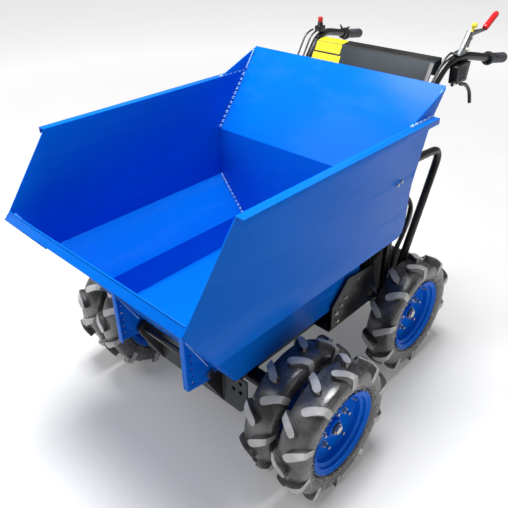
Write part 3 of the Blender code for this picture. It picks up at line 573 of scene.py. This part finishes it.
def add_lug(bm, centre, half, outer, side, start):
    """One lug as a grid of points, closed underneath inside the carcass."""
    shares = [0.0, 0.012, 0.03, 0.06, 0.11] + [k / LUG_ROWS for k in range(2, LUG_ROWS + 1)]
    rows = []
    for share in shares:
        x, climb, top, foot, width = lug_row(share, half, outer)
        ahead = lug_row(share + 0.01, half, outer)
        heading = math.atan2(ahead[1] - climb, ahead[0] - x)
        square = (-math.sin(heading) * (1 - share * share), math.cos(heading))
        rows.append((x, climb, top, foot, width, square))
    x, climb, top, foot, width, square = rows[-1]
    rows.append((half - 0.0005, climb, top - 0.010, foot - 0.004, width * 0.98, (0.0, 1.0)))
    rows.append((half - 0.0010, climb + 0.002, top - 0.030, foot - 0.014, width * 0.86, (0.0, 1.0)))
    grid = []
    for number, (x, climb, top, foot, width, (sideways, forwards)) in enumerate(rows):
        low_end = number in (0, len(rows) - 1)
        row = []
        for across, rise in LUG_SECTION:
            radius = foot if low_end else foot + (top - foot) * rise
            reach = across * (width + 0.002)
            turn = start + (climb + reach * forwards) / outer
            outwards = side * min(x + reach * sideways, half - 0.0005)
            row.append(bm.verts.new((centre.x + outwards, centre.y - radius * math.cos(turn),
                                     centre.z + radius * math.sin(turn))))
        grid.append(row)
    for first, second in zip(grid, grid[1:]):
        for k in range(len(LUG_SECTION) - 1):
            strip = bm.faces.new((first[k], first[k + 1], second[k + 1], second[k]))
            strip.material_index = int(k in LUG_TOP)
    edge = grid[0] + [row[-1] for row in grid[1:-1]] + grid[-1][::-1] + [row[0] for row in grid[-2:0:-1]]
    middle = bm.verts.new(sum((vert.co for vert in edge), Vector()) / len(edge))
    middle.co += (centre - middle.co).normalized() * 0.006
    for a, b in zip(edge, edge[1:] + edge[:1]):
        bm.faces.new((a, b, middle))


print("lugs on a tyre", 2 * LUGS_A_SIDE)

# %% Rubber whiskers
def add_spike(bm, base, tip, width):
    """A thin three-sided spike."""
    along = (tip - base).normalized()
    across = along.orthogonal().normalized()
    foot = [bm.verts.new(base + Matrix.Rotation(turn, 3, along) @ across * width) for turn in turns(3)]
    point = bm.verts.new(tip)
    bm.faces.new(foot)
    for k in range(3):
        bm.faces.new((foot[k], foot[(k + 1) % 3], point))


WHISKERS, WHISKER_RADIUS, WHISKER_LENGTHS = 190, 0.0015, (0.012, 0.026)


def whiskers(name, centre, half, outer, side, body):
    """Moulding hairs that stand out of the side wall."""
    bm = bmesh.new()
    low, high = outer - 0.081, outer - 0.043
    for _ in range(WHISKERS):
        turn = random.uniform(0, 2 * math.pi)
        radius = random.uniform(low, high)
        outwards = spoke(turn)
        wall = half * (0.83 + 0.135 * min(1.0, (radius - low) / 0.018))
        base = centre + outwards * radius + ACROSS * side * wall
        lean = ACROSS * side * random.uniform(0.3, 1.0)
        lean += outwards.cross(ACROSS) * random.uniform(-1, 1) + outwards * random.uniform(-0.8, 0.8)
        tip = base + lean.normalized() * random.uniform(*WHISKER_LENGTHS)
        tip.x = centre.x + side * min(abs(tip.x - centre.x), half - 0.0004)
        add_spike(bm, base, tip, WHISKER_RADIUS)
    return piece(name, bm, WHISKER_PAINTED_GLINT, body)


# %% Make the six tyres
random.seed(41)
CARCASS_STEPS = 88
FIRST_PHASE, NEXT_PHASE = 0.05, 0.17     # so that no two tyres stand at the same angle


def tyre(node, phase):
    low, high, centre = extent(node)
    half, outer = (high.x - low.x) / 2, (high.z - low.z) / 2
    bm = turned(carcass_outline(half, outer), centre, CARCASS_STEPS)
    pitch = 2 * math.pi / LUGS_A_SIDE
    for k in range(LUGS_A_SIDE):
        add_lug(bm, centre, half, outer, 1, phase + k * pitch)
        add_lug(bm, centre, half, outer, -1, phase + (k + 0.5) * pitch)
    body = BODY_OF[node]
    made = piece(f"{node}_tread", bm, TYRE, body, [node], 30)
    made.data.materials.append(TREAD_TOP_DUST_AND_HIGHLIGHT)
    if not node.endswith("inner"):
        whiskers(f"{node}_whiskers", centre, half, outer, 1 if centre.x > 0 else -1, body)
    return made


tyre_nodes = [node for node in BODY_OF if node.startswith("tyre_")]
for number, node in enumerate(tyre_nodes):
    tyre(node, FIRST_PHASE + NEXT_PHASE * number)
print("tyres", len(tyre_nodes), "whisker pieces", count("_whiskers"))

# %% [markdown]
# The rims are pressed and deep: a rolled flange, a stepped barrel, and a disc far inside that is bolted
# to the hub. The disc carries zinc-plated nuts on long studs.

# %% Fasteners
def add_prism(bm, base, along, radius, height, sides, twist=0.0):
    """A straight prism standing on base."""
    along = along.normalized()
    across = along.orthogonal().normalized()
    rings = [[bm.verts.new(base + along * lift + Matrix.Rotation(turn, 3, along) @ across * radius)
              for turn in turns(sides, twist)] for lift in (0.0, height)]
    bm.faces.new(rings[0])
    bm.faces.new(rings[1])
    bridge(bm, *rings)


def add_bolt(bm, base, along, size, stud=0.0):
    """Washer and hexagon head or nut, with a stud's end standing out of a nut."""
    along = along.normalized()
    add_prism(bm, base, along, size * 1.15, size * 0.18, 20)
    add_prism(bm, base + along * size * 0.18, along, size * 0.95, size * 0.75, 6, 0.4)
    if stud:
        add_prism(bm, base + along * size * 0.93, along, size * 0.48, stud, 12)


def bolts(name, places, along, size, body, finish=ZINC):
    """One piece from many equal bolts."""
    bm = bmesh.new()
    for place in places:
        add_bolt(bm, place, along, size)
    return piece(name, bm, finish, body)


def zinc_piece(name, bm, body="chassis"):
    return piece(name, bm, ZINC, body)


print("fastener helpers ready")

# %% Rims, hubs and wheel nuts
RIM_FLANGE, BARREL, HUB, HUB_BORE = 0.142, 0.1282, 0.034, 0.0212
NUTS, NUT_CIRCLE, NUT_SIZE, STUD = 5, 0.062, 0.0105, 0.014


def rim_outline(out):
    """Closed outline of one rim. out is +1 where the outer face looks along +X."""
    outer_side = [(0.0450, RIM_FLANGE - 0.0012), (0.0462, RIM_FLANGE - 0.0030), (0.0455, RIM_FLANGE - 0.0055),
                  (0.0410, RIM_FLANGE - 0.0100), (0.0385, 0.1240), (0.0300, 0.1225), (0.0265, 0.1170),
                  (0.0245, 0.1120), (0.0080, 0.1090), (0.0020, 0.1040), (0.0000, 0.0960), (-0.0020, 0.0700),
                  (0.0010, 0.0480), (0.0010, HUB + 0.0008)]
    inner_side = [(-0.0060, HUB + 0.0008), (-0.0060, 0.0480), (-0.0080, 0.0700), (-0.0060, 0.1000),
                  (-0.0100, 0.1180), (-0.0385, 0.1235), (-0.0410, RIM_FLANGE - 0.0100),
                  (-0.0455, RIM_FLANGE - 0.0055), (-0.0462, RIM_FLANGE - 0.0030),
                  (-0.0450, RIM_FLANGE - 0.0012),
                  (-0.0420, RIM_FLANGE - 0.0010), (-0.0395, RIM_FLANGE - 0.0030), (-0.0385, BARREL),
                  (0.0385, BARREL), (0.0395, RIM_FLANGE - 0.0030), (0.0420, RIM_FLANGE - 0.0010)]
    return [(out * x, radius) for x, radius in outer_side + inner_side]


def hub(name, centre, low_x, high_x, out, body):
    """Hub tube with a chamfered nose."""
    outline = [(low_x, HUB), (low_x, HUB_BORE), (high_x, HUB_BORE), (high_x, HUB - 0.007),
               (high_x - out * 0.003, HUB - 0.004)]
    bm = turned([(x - centre.x, radius) for x, radius in outline], centre, 48)
    return piece(name, bm, RIM_BLUE, body)


def wheel(node, tyres):
    """Rims, hub, nuts and valves of one wheel or twin."""
    body, out = BODY_OF[node], 1 if node.endswith("left") else -1
    nuts, rims = bmesh.new(), bmesh.new()
    centres = [extent(tyre_node)[2] for tyre_node in tyres]
    for centre in centres:
        one = turned(rim_outline(out), centre, 72)
        mesh = bpy.data.meshes.new("one_rim")
        one.to_mesh(mesh)
        one.free()
        rims.from_mesh(mesh)
        bpy.data.meshes.remove(mesh)
        for turn in turns(NUTS, 0.3):
            seat = centre + spoke(turn) * NUT_CIRCLE - ACROSS * out * 0.0012
            add_bolt(nuts, seat, ACROSS * out, NUT_SIZE, STUD)
        valve = centre + spoke(2.2) * 0.104 + ACROSS * out * 0.012
        add_prism(nuts, valve, Vector((out, 0.25, -0.1)), 0.0034, 0.026, 12)
    piece(f"{node}_pressed", rims, RIM_BLUE, body, [node], 28)
    zinc_piece(f"{node}_nuts", nuts, body)
    near, far = centres[0], centres[-1]
    hub(f"{node}_hub", near, near.x - out * 0.030, far.x + out * 0.016, out, body)


for side, sign in SIDES:
    wheel(f"rims_front_{side}", [f"tyre_front_{side}_inner", f"tyre_front_{side}_outer"])
    wheel(f"rim_rear_{side}", [f"tyre_rear_{side}"])
print("rims", count("_pressed"))

# %% [markdown]
# Axles and the pivot pin are turned. They keep the frame's solids, rounded by the same edge treatment,
# and gain what holds them: nuts on the stubs, a bolted ring on the case, and clips on the pin.

# %% Axles and pins
def stub_nut(axle):
    """Washer and nut on each end of an axle."""
    low, high, centre = extent(axle)
    bm = bmesh.new()
    for sign, x in ((1, high.x), (-1, low.x)):
        tip = Vector((x, centre.y, centre.z))
        add_prism(bm, tip, ACROSS * sign, 0.0175, 0.0035, 24)
        add_prism(bm, tip + ACROSS * sign * 0.0035, ACROSS * sign, 0.0150, 0.0060, 6)
    return zinc_piece(f"{axle}_nuts", bm)


def axle_case(axle):
    """Bolted joint ring on the differential's case."""
    centre = extent(axle)[2]
    bm = bmesh.new()
    ring, bore, half = 0.0700, 0.064, 0.009
    for turn in turns(10, 0.3):
        outwards = Vector((0, math.cos(turn), math.sin(turn)))
        add_bolt(bm, centre + outwards * (ring - 0.006) + ACROSS * 0.010, ACROSS, 0.0050)
    zinc_piece(f"{axle}_case_bolts", bm)
    flange = turned([(half, bore), (half, ring), (-half, ring), (-half, bore)], centre, 40)
    piece(f"{axle}_case_ring", flange, BLACK, "chassis")


for axle in ("front_axle", "rear_axle"):
    edged(axle, BLACK, 0.0012)
    stub_nut(axle)
    axle_case(axle)
edged("pivot_pin", BLACK, 0.0010)
_, pin_high, pin_middle = extent("pivot_pin")
clips = bmesh.new()
for side, sign in SIDES:
    place = Vector((sign * (pin_high.x - 0.006), pin_middle.y, pin_middle.z))
    add_prism(clips, place, ACROSS * sign, 0.0150, 0.0020, 24)
zinc_piece("pivot_pin_clips", clips)
print("axles and pin done")

# %% [markdown]
# A hand-laid weld is a row of overlapping drops: a low tube whose radius swells once a drop.

# %% Weld beads
DROP = 0.0065


def weld(name, points, radius, finish, body, stitch=0.0):
    """A bead along straight stretches. With stitch, it stops and starts again every so often."""
    bm = bmesh.new()
    for start, end in zip(points, points[1:]):
        length = (end - start).length
        along = (end - start).normalized()
        across = along.orthogonal().normalized()
        other = along.cross(across)
        runs = [(0.0, length)]
        if stitch:
            many = max(1, round(length / stitch))
            runs = [(k * length / many, (k + 0.72) * length / many) for k in range(many)]
        for low, high in runs:
            drops = max(2, round((high - low) / DROP))
            rings = []
            for k in range(drops * 4 + 1):
                share = k / (drops * 4)
                swell = radius * (0.72 + 0.38 * abs(math.sin(math.pi * share * drops)))
                swell *= 0.35 if k in (0, drops * 4) else 1.0
                middle = start + along * (low + (high - low) * share)
                rings.append([bm.verts.new(middle + (across * math.cos(a) + other * math.sin(a)) * swell)
                              for a in (j * math.pi / 4 for j in range(8))])
            bm.faces.new(rings[0])
            bm.faces.new(rings[-1])
            for first, second in zip(rings, rings[1:]):
                bridge(bm, first, second)
    return piece(name, bm, finish, body, angle=60)


def blue_weld(name, points, radius=0.0042, stitch=0.0):
    return weld(name, points, radius, BLUE_WELD, "skip", stitch)


inside = TUB - SHEET - 0.0025
wall_in = WALL - SHEET - 0.0030
CLEAR = 0.0030              # beads sit in the corner, clear of the sheet's far side


def behind(x, level):
    """A place on the rear panel's inner face."""
    return at(x, back_station(level) - CLEAR, level)


def before(x, level):
    """A place on the front slope's inner face."""
    return at(x, front_station(level) + CLEAR, level)


for side, sign in SIDES:
    x, foot, rim_x = sign * wall_in, sign * inside, sign * (WALL + 0.0010)
    blue_weld(f"weld_back_{side}", [behind(x, FOLD + 0.004), behind(x, RIM - 0.004)], 0.0050, 0.019)
    blue_weld(f"weld_back_slope_{side}", [behind(foot, SILL), behind(x, FOOT)], 0.0042, 0.016)
    blue_weld(f"weld_back_upright_{side}", [behind(foot, FLOOR + 0.002), behind(foot, SILL)], 0.0030)
    blue_weld(f"weld_front_slope_{side}",
              [before(foot, FLOOR) + UP * 0.002, before(foot, SILL), before(x, FOOT),
               at(x, LIP_STATION + 0.012, LIP_LEVEL - 0.012)], 0.0028)
    blue_weld(f"weld_gusset_{side}", [at(rim_x, back_station(RIM) - 0.130, RIM + 0.001),
                                      at(rim_x, back_station(RIM) + 0.004, RIM + 0.001)], 0.0050, 0.024)
    blue_weld(f"weld_gusset_back_{side}", [behind(x, RIM + 0.004),
                                           at(x, TOP_STATION - 0.010 - CLEAR, TOP - 0.010)], 0.0036)
blue_weld("weld_floor_back", [behind(-inside, FLOOR + 0.002), behind(inside, FLOOR + 0.002)], 0.0030)
for side, sign in SIDES:
    low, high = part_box(f"skip_bracket_{side}")
    for x in (low.x + 0.0152, high.x) if sign > 0 else (low.x, high.x - 0.0152):
        blue_weld(f"weld_bracket_{side}_{'outer' if abs(x) > 0.165 else 'inner'}",
                  [at(x, 0.006, high.z - 0.010), at(x, SLOPE_END - 0.008, FLOOR - SHEET - 0.002)], 0.0030)
print("weld beads", count("weld_"))

# %% [markdown]
# The frame is welded too, in black: uprights to the cross plate, rails to the axle tubes.

# %% Frame welds
def black_weld(name, points, radius=0.0034):
    return weld(name, points, radius, BLACK_WELD, "chassis")


plate_low, plate_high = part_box("front_plate")
for side, sign in SIDES:
    low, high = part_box(f"pivot_upright_{side}")
    for label, x in zip(("inner", "outer"), (low.x, high.x)[::sign]):
        black_weld(f"frame_weld_upright_{side}_{label}",
                   [Vector((x, plate_low.y, low.z + 0.006)), Vector((x, plate_low.y, low.z + 0.112))])
    rail_low, rail_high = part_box(f"rail_{side}")
    for axle in ("front_axle", "rear_axle"):
        middle = extent(axle)[2]
        for label, y in (("front", middle.y - 0.010), ("back", middle.y + 0.010)):
            black_weld(f"frame_weld_{axle}_{side}_{label}",
                       [Vector((rail_low.x, y, rail_low.z)), Vector((rail_high.x, y, rail_low.z))])
print("frame welds", count("frame_weld"))

# %% [markdown]
# Bolts show where plates meet: on the skip's walls, the side plates, the cross plate and the deck.

# %% Bolts on plates
FRAME_BOLT, PLATE_BOLT = 0.0070, 0.0068


for side, sign in SIDES:
    outward = ACROSS * sign
    bolts(f"wall_bolts_{side}", [at(sign * WALL, y, z) for y, z in ((0.676, 0.851), (0.696, 0.855))],
          outward, 0.0048, "skip")
    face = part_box(f"side_plate_{side}")[1 if sign > 0 else 0].x
    bolts(f"side_plate_bolts_{side}",
          [at(face, y, z) for y, z in ((0.665, 0.478), (0.657, 0.438), (0.552, 0.392), (0.576, 0.412),
                                       (0.600, 0.432), (0.760, 0.360), (0.560, 0.355))],
          outward, FRAME_BOLT, "chassis")
bolts("cross_plate_bolts", [Vector((x, plate_low.y, z)) for x in (-0.235, -0.205, 0.205, 0.235)
                            for z in (plate_high.z - 0.022, plate_high.z - 0.060)],
      -BACK, PLATE_BOLT, "chassis", BLACK)
deck_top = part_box("rear_deck")[1].z
bolts("deck_bolts", [at(x, y, deck_top) for x in (-0.262, -0.160, 0.160, 0.262) for y in (0.545, 1.115)],
      UP, PLATE_BOLT, "chassis")
print("bolts done")

# %% [markdown]
# The lift cylinder and its chromed rod keep the frame's solids, with unions where the oil goes in.

# %% Lift cylinder
edged("lift_cylinder", BLACK, 0.0012)
edged("lift_rod", CHROME, 0.0010)


def cylinder_fittings():
    """Two hose unions, placed along the cylinder's own axis."""
    joints = {joint["name"]: joint for joint in frame["joints"]}
    base = Vector(joints["ram_swing"]["pos_m"])
    along = Vector(joints["ram_extend"]["axis"]).normalized()
    reach = (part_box("lift_cylinder")[1].z - base.z) / along.z * 0.93
    up = ACROSS.cross(along)
    up = up if up.z > 0 else -up
    bm = bmesh.new()
    for distance in (0.060, reach - 0.050):
        foot = base + along * distance + up * 0.0235
        add_prism(bm, foot, up, 0.0105, 0.012, 16)
        add_prism(bm, foot + up * 0.012, up, 0.0095, 0.010, 6)
    return zinc_piece("cylinder_unions", bm, "ram_cylinder")


cylinder_fittings()
print("lift cylinder done")

# %% [markdown]
# The engine shows from the back: cooling fins, a ribbed fan housing with a pull cord's knob, filler
# caps, and a louvred silencer.

# %% Engine block and fins
BOX_FACES = (0, 1, 2, 3), (4, 5, 6, 7), (0, 1, 5, 4), (1, 2, 6, 5), (2, 3, 7, 6), (3, 0, 4, 7)


def close_box(bm, corners):
    """Six faces on eight corners, four on each side."""
    points = [bm.verts.new(corner) for corner in corners]
    for face in BOX_FACES:
        bm.faces.new([points[k] for k in face])


def add_box(bm, low, high):
    """A box between two corners."""
    close_box(bm, [(x, y, z) for z in (low[2], high[2]) for x, y in
                   ((low[0], low[1]), (high[0], low[1]), (high[0], high[1]), (low[0], high[1]))])


def engine():
    low, high, middle = extent("engine_block")
    height = high.z - low.z
    split = low.z + height * 0.42
    bm = bmesh.new()
    add_box(bm, low, (high.x, high.y, split))
    add_box(bm, (low.x + 0.030, low.y + 0.045, split), (high.x - 0.020, high.y - 0.045, high.z - 0.004))
    fins = 9
    for k in range(fins):
        z = low.z + height * (0.48 + 0.50 * k / fins)
        add_box(bm, (low.x + 0.006, low.y + 0.014, z), (high.x - 0.006, high.y - 0.014, z + 0.0032))
    bevelled(piece("engine_block_body", bm, CAST, "chassis", ["engine_block"]), 0.0016)
    studs = bmesh.new()
    for x in (low.x + 0.018, high.x - 0.018):
        for z in (low.z + 0.018, low.z + height * 0.36):
            add_bolt(studs, Vector((x, high.y, z)), BACK, 0.0060)
            add_bolt(studs, Vector((x, low.y, z)), -BACK, 0.0060)
    add_prism(studs, Vector((middle.x, high.y, low.z + 0.030)), BACK + UP * 0.25, 0.013, 0.018, 6)
    zinc_piece("engine_bolts", studs)


engine()
print("engine block done")

# %% Fan housing, tank, silencer and oil tank
def fan_housing():
    low, high, middle = extent("fan_housing")
    centre = Vector((low.x, middle.y, middle.z))
    radius, depth = (high.z - low.z) / 2, high.x - low.x
    outline = [(0.0, radius * 0.6), (0.0, radius), (depth * 0.62, radius), (depth * 0.80, radius * 0.93),
               (depth * 0.86, radius * 0.80), (depth * 0.86, radius * 0.46), (depth, radius * 0.40),
               (depth, 0.004), (depth * 0.5, 0.004), (depth * 0.5, radius * 0.6)]
    bm = turned(outline, centre, 64)
    for turn in turns(24):
        outwards = Vector((0, math.cos(turn), math.sin(turn)))
        start = centre + ACROSS * depth * 0.86 + outwards * radius * 0.48
        add_prism(bm, start, outwards, 0.0032, radius * 0.30, 6)
    piece("fan_housing_body", bm, BLACK_PLASTIC, "chassis", ["fan_housing"], 30)
    knob = bmesh.new()
    seat = centre + Vector((depth * 0.70, -radius * 0.95, radius * 0.10))
    add_prism(knob, seat, Vector((0.2, -1, 0)), 0.0075, 0.030, 14)
    piece("starter_knob", knob, BLACK_PLASTIC, "chassis")


def filler_cap(name, tank, x, radius, height=0.012):
    """Screw cap with gripping ribs, on the middle line of a tank's top."""
    _, high, middle = extent(tank)
    place = Vector((x, middle.y, high.z))
    bm = bmesh.new()
    add_prism(bm, place, UP, radius, height, 40)
    for turn in turns(16):
        rib = place + Vector((math.cos(turn), math.sin(turn), 0)) * radius
        add_prism(bm, rib, UP, 0.0022, height - 0.001, 6)
    add_prism(bm, place + UP * height, UP, radius * 0.55, 0.003, 32)
    return piece(name, bm, BLACK_PLASTIC, "chassis")


fan_housing()
edged("fuel_tank", BLACK_PLASTIC, 0.0020)
edged("hydraulic_tank", BLACK, 0.0020)
filler_cap("fuel_cap", "fuel_tank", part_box("fuel_tank")[1].x - 0.060, 0.026)
filler_cap("oil_cap", "hydraulic_tank", -0.100, 0.020)
print("tanks and caps done")

# %% Silencer with its louvred guard
def silencer():
    edged("silencer", HEAT, 0.0016)
    low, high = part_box("silencer")
    bm = bmesh.new()
    louvres = 7
    for k in range(louvres):
        z = low.z + 0.018 + (high.z - low.z - 0.036) * k / (louvres - 1)
        add_prism(bm, Vector((low.x - 0.001, low.y + 0.020, z)), BACK, 0.0035, high.y - low.y - 0.040, 8)
    outlet = Vector((low.x + 0.045, high.y - 0.002, high.z - 0.030))
    add_prism(bm, outlet, BACK + UP * 0.1, 0.011, 0.020, 24)
    piece("silencer_louvres", bm, HEAT, "chassis")


silencer()
print("silencer done")

# %% [markdown]
# The operator's end. Rubber grips have fine ribs and a collar. The gear lever is steel with a red
# handle, the clutch lever is a short black stub with a red tip, and the console carries blank plates.

# %% Grips
GRIP_HALF, GRIP_END = 0.0240, 0.0190     # radius of the collar and of the far end


def grip(side, sign):
    """Ribbed sleeve along the slanting end of the handlebar."""
    low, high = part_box(f"grip_{side}")
    fall = math.atan2(0.021, 0.120)
    down, level = math.sin(fall), math.cos(fall)
    start = Vector((sign * 0.3083, low.y + GRIP_HALF * down * 0.2, high.z - GRIP_HALF * level))
    end = Vector((sign * 0.3170, high.y - GRIP_END * down * 0.7, low.z + GRIP_END * level))
    length = (end - start).length
    outline = [(0.001, 0.0152), (0.001, 0.0232), (0.004, 0.0240), (0.010, 0.0234), (0.013, 0.0178)]
    ribs = 22
    for k in range(ribs):
        x = 0.016 + (length - 0.028) * k / ribs
        outline += [(x, 0.0168), (x + 0.0012, 0.0182), (x + 0.0030, 0.0182), (x + 0.0042, 0.0168)]
    outline += [(length - short, radius) for short, radius in
                ((0.008, 0.0188), (0.003, 0.0180), (0.001, 0.0150), (0.001, 0.0080), (0.003, 0.0080),
                 (0.003, 0.0150))]
    bm = turned(outline, ORIGIN, 36)
    stand(bm, start, end - start)
    return piece(f"grip_{side}_ribbed", bm, GRIP, "chassis", [f"grip_{side}"], 50)


for side, sign in SIDES:
    grip(side, sign)
print("grips done")

# %% Gear lever, its handle and the yellow knob
def red_handle():
    """Dipped vinyl handle with a round end, leaning back from the lever."""
    low, _, middle = extent("gear_lever_grip")
    lean = math.radians(27)
    outline = [(0.0, 0.0020), (0.0, 0.0086), (0.003, 0.0100), (0.010, 0.0107), (0.030, 0.0104),
               (0.072, 0.0107), (0.082, 0.0098), (0.087, 0.0076), (0.0885, 0.0040), (0.0885, 0.0020)]
    bm = turned(outline, ORIGIN, 28)
    start = Vector((middle.x, low.y + 0.0040, low.z + 0.0088))
    stand(bm, start, BACK * math.cos(lean) + UP * math.sin(lean))
    return piece("gear_lever_handle", bm, RED, "chassis", ["gear_lever_grip"], 50)


def gear_lever():
    edged("gear_lever", LEVER_STEEL, 0.0007)
    red_handle()
    low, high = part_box("gear_lever")
    bm = bmesh.new()
    pivot = Vector((high.x, low.y + 0.030, low.z + 0.018))
    add_bolt(bm, pivot, ACROSS, 0.0075, 0.004)
    add_bolt(bm, Vector((high.x, low.y + 0.058, low.z + 0.046)), ACROSS, 0.0055)
    zinc_piece("gear_lever_bolts", bm)
    knob = bmesh.new()
    bmesh.ops.create_uvsphere(knob, u_segments=24, v_segments=16, radius=0.0095)
    place = Vector((high.x - 0.001, low.y + 0.070, high.z + 0.014))
    bmesh.ops.translate(knob, verts=knob.verts, vec=place)
    add_prism(knob, place - UP * 0.004, Vector((-0.25, -0.2, -1)), 0.0045, 0.036, 12)
    piece("choke_knob", knob, YELLOW, "chassis")


gear_lever()
print("gear lever done")

# %% Switch box ribs and the clutch lever's tip
edged("switch_box", BLACK_PLASTIC, 0.0030, 3)
edged("clutch_lever", BLACK_PLASTIC, 0.0016)
box_low, box_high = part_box("switch_box")
ribs = bmesh.new()
for k in range(6):
    z = box_low.z + 0.012 + 0.0075 * k
    add_prism(ribs, Vector((box_high.x, box_low.y + 0.018, z)), BACK, 0.0022, 0.046, 8)
# the ribs take the paler console grey, a painted highlight for the light on their edges
piece("switch_box_ribs", ribs, CONSOLE_GREY, "chassis")
union = bmesh.new()
union_foot = Vector((box_high.x - 0.008, box_low.y + 0.004, box_low.z + 0.006))
add_prism(union, union_foot, Vector((0.1, -1, -0.12)), 0.0058, 0.020, 16)
zinc_piece("switch_box_union", union)
_, tip_high, tip_middle = extent("clutch_lever")
tip = bmesh.new()
add_prism(tip, Vector((tip_middle.x, tip_middle.y, tip_high.z - 0.016)), UP, 0.0092, 0.019, 24)
bevelled(piece("clutch_tip", tip, RED, "chassis"), 0.0020, 3)
clamp_low, clamp_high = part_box("grip_right")
clamp_place = Vector((-0.3075, clamp_low.y - 0.020, clamp_high.z - 0.0195))
clamp = turned([(0.0, 0.0148), (0.0, 0.0195), (0.016, 0.0195), (0.016, 0.0148)], ORIGIN, 28)
stand(clamp, clamp_place, BACK)
add_prism(clamp, clamp_place + Vector((-0.004, 0.008, 0.016)), Vector((0.35, -1, 0.75)), 0.0040, 0.034, 10)
add_prism(clamp, clamp_place + Vector((0.006, 0.008, 0.014)), Vector((0.9, 0.5, 0.6)), 0.0036, 0.024, 10)
piece("throttle_clamp", clamp, BLACK_PLASTIC, "chassis")
print("switch box, clutch lever and clamp done")

# %% Console plates
def plate_on(bm, start, down, out, near, far, left, right, thick=0.0009):
    """A thin plate on a flat face, from near to far along down."""
    close_box(bm, [start + down * distance + out * lift + ACROSS * x for lift in (0.0002, thick)
                   for distance, x in ((near, left), (near, right), (far, right), (far, left))])


def console_trim():
    """Blank yellow plates, a painted highlight along the fold, a dark top strip and a pale end strip."""
    low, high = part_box("console")
    fold = Vector((0, low.y + 0.0640, high.z - 0.0060))
    foot = Vector((0, low.y, low.z + 0.0120))
    back = Vector((0, high.y - 0.0040, high.z))
    down, up = (foot - fold).normalized(), (back - fold).normalized()
    front_out = (UP * 0.5 - BACK).normalized()
    front_out = (front_out - down * front_out.dot(down)).normalized()
    top_out = (UP - up * up.z).normalized()
    end = high.x - 0.0015
    yellow, dark, pale, wear_and_highlight = (bmesh.new() for _ in range(4))
    plate_on(yellow, fold, up, top_out, 0.000, 0.040, -0.236, -0.124, 0.0014)
    plate_on(yellow, fold, down, front_out, 0.000, 0.036, -0.238, -0.124)
    plate_on(yellow, fold, down, front_out, 0.042, 0.084, -0.241, -0.116)
    plate_on(dark, fold, up, top_out, 0.003, 0.044, -end, end, 0.0006)
    plate_on(pale, fold, down, front_out, 0.006, 0.138, end - 0.013, end, 0.0007)
    # painted highlight: a pale steel rod along the fold stands in for the light that the bend catches
    add_prism(wear_and_highlight, fold - ACROSS * end + front_out * 0.0002, ACROSS, 0.0012, 2 * end, 8)
    piece("console_plates", yellow, LABEL, "chassis")
    piece("console_top_strip", dark, BLACK, "chassis")
    piece("console_end_strip", pale, CAST, "chassis")
    piece("console_fold", wear_and_highlight, LEVER_STEEL, "chassis")


console_trim()
print("console trim done")

# %% [markdown]
# A pale floor and three soft lamps. The strongest hangs over the skip, so its floor and rear panel shine
# while the side walls stay deep. The floor glows more with distance and fades to white behind the
# machine, and a white sky fills the shadows.

# %% Floor and light
WHITE = (1.0, 1.0, 1.0)
FLOOR_GLOW, SKY_GLOW = 0.62, 0.20


def make_floor():
    bm = bmesh.new()
    bmesh.ops.create_grid(bm, x_segments=1, y_segments=1, size=30.0)
    mesh = bpy.data.meshes.new("floor")
    bm.to_mesh(mesh)
    bm.free()
    ground = Finish("pale_floor")
    speck = ground.noise(3.0, 6.0)
    away = ground.node("ShaderNodeVectorMath", {"operation": "LENGTH"}, {0: ground.place}, output=1) * 0.1
    mesh.materials.append(ground.surface({
        "Base Color": ground.blend(speck, (0.68, 0.68, 0.68), (0.74, 0.74, 0.74)), "Roughness": 0.7,
        "Emission Color": ground.ramp(away, (0.16, 0.22), (0.50, 1.0)), "Emission Strength": FLOOR_GLOW}))
    floor = bpy.data.objects.new("floor", mesh)
    bpy.context.scene.collection.objects.link(floor)


def lamp(name, place, target, size, power):
    light = bpy.data.lights.new(name, "AREA")
    light.shape = "SQUARE"
    light.size = size
    light.energy = power
    made = bpy.data.objects.new(name, light)
    made.location = place
    made.rotation_euler = (Vector(target) - Vector(place)).to_track_quat("-Z", "Y").to_euler()
    bpy.context.scene.collection.objects.link(made)


make_floor()
lamp("key", (-1.8, -2.9, 3.9), (0, 0, 0.5), 2.2, 60)
lamp("sky", (-0.2, -0.3, 4.6), (0, 0, 0.4), 1.8, 275)
lamp("rim", (3.2, -0.6, 2.6), (0.3, 0, 0.2), 1.4, 6)
world = bpy.data.worlds.new("white_sky")
bpy.context.scene.world = world
world.use_nodes = True
sky = world.node_tree.nodes["Background"].inputs
sky["Color"].default_value = (*WHITE, 1.0)
sky["Strength"].default_value = SKY_GLOW
bpy.context.scene.view_settings.view_transform = "Standard"
print("floor and lamps done")
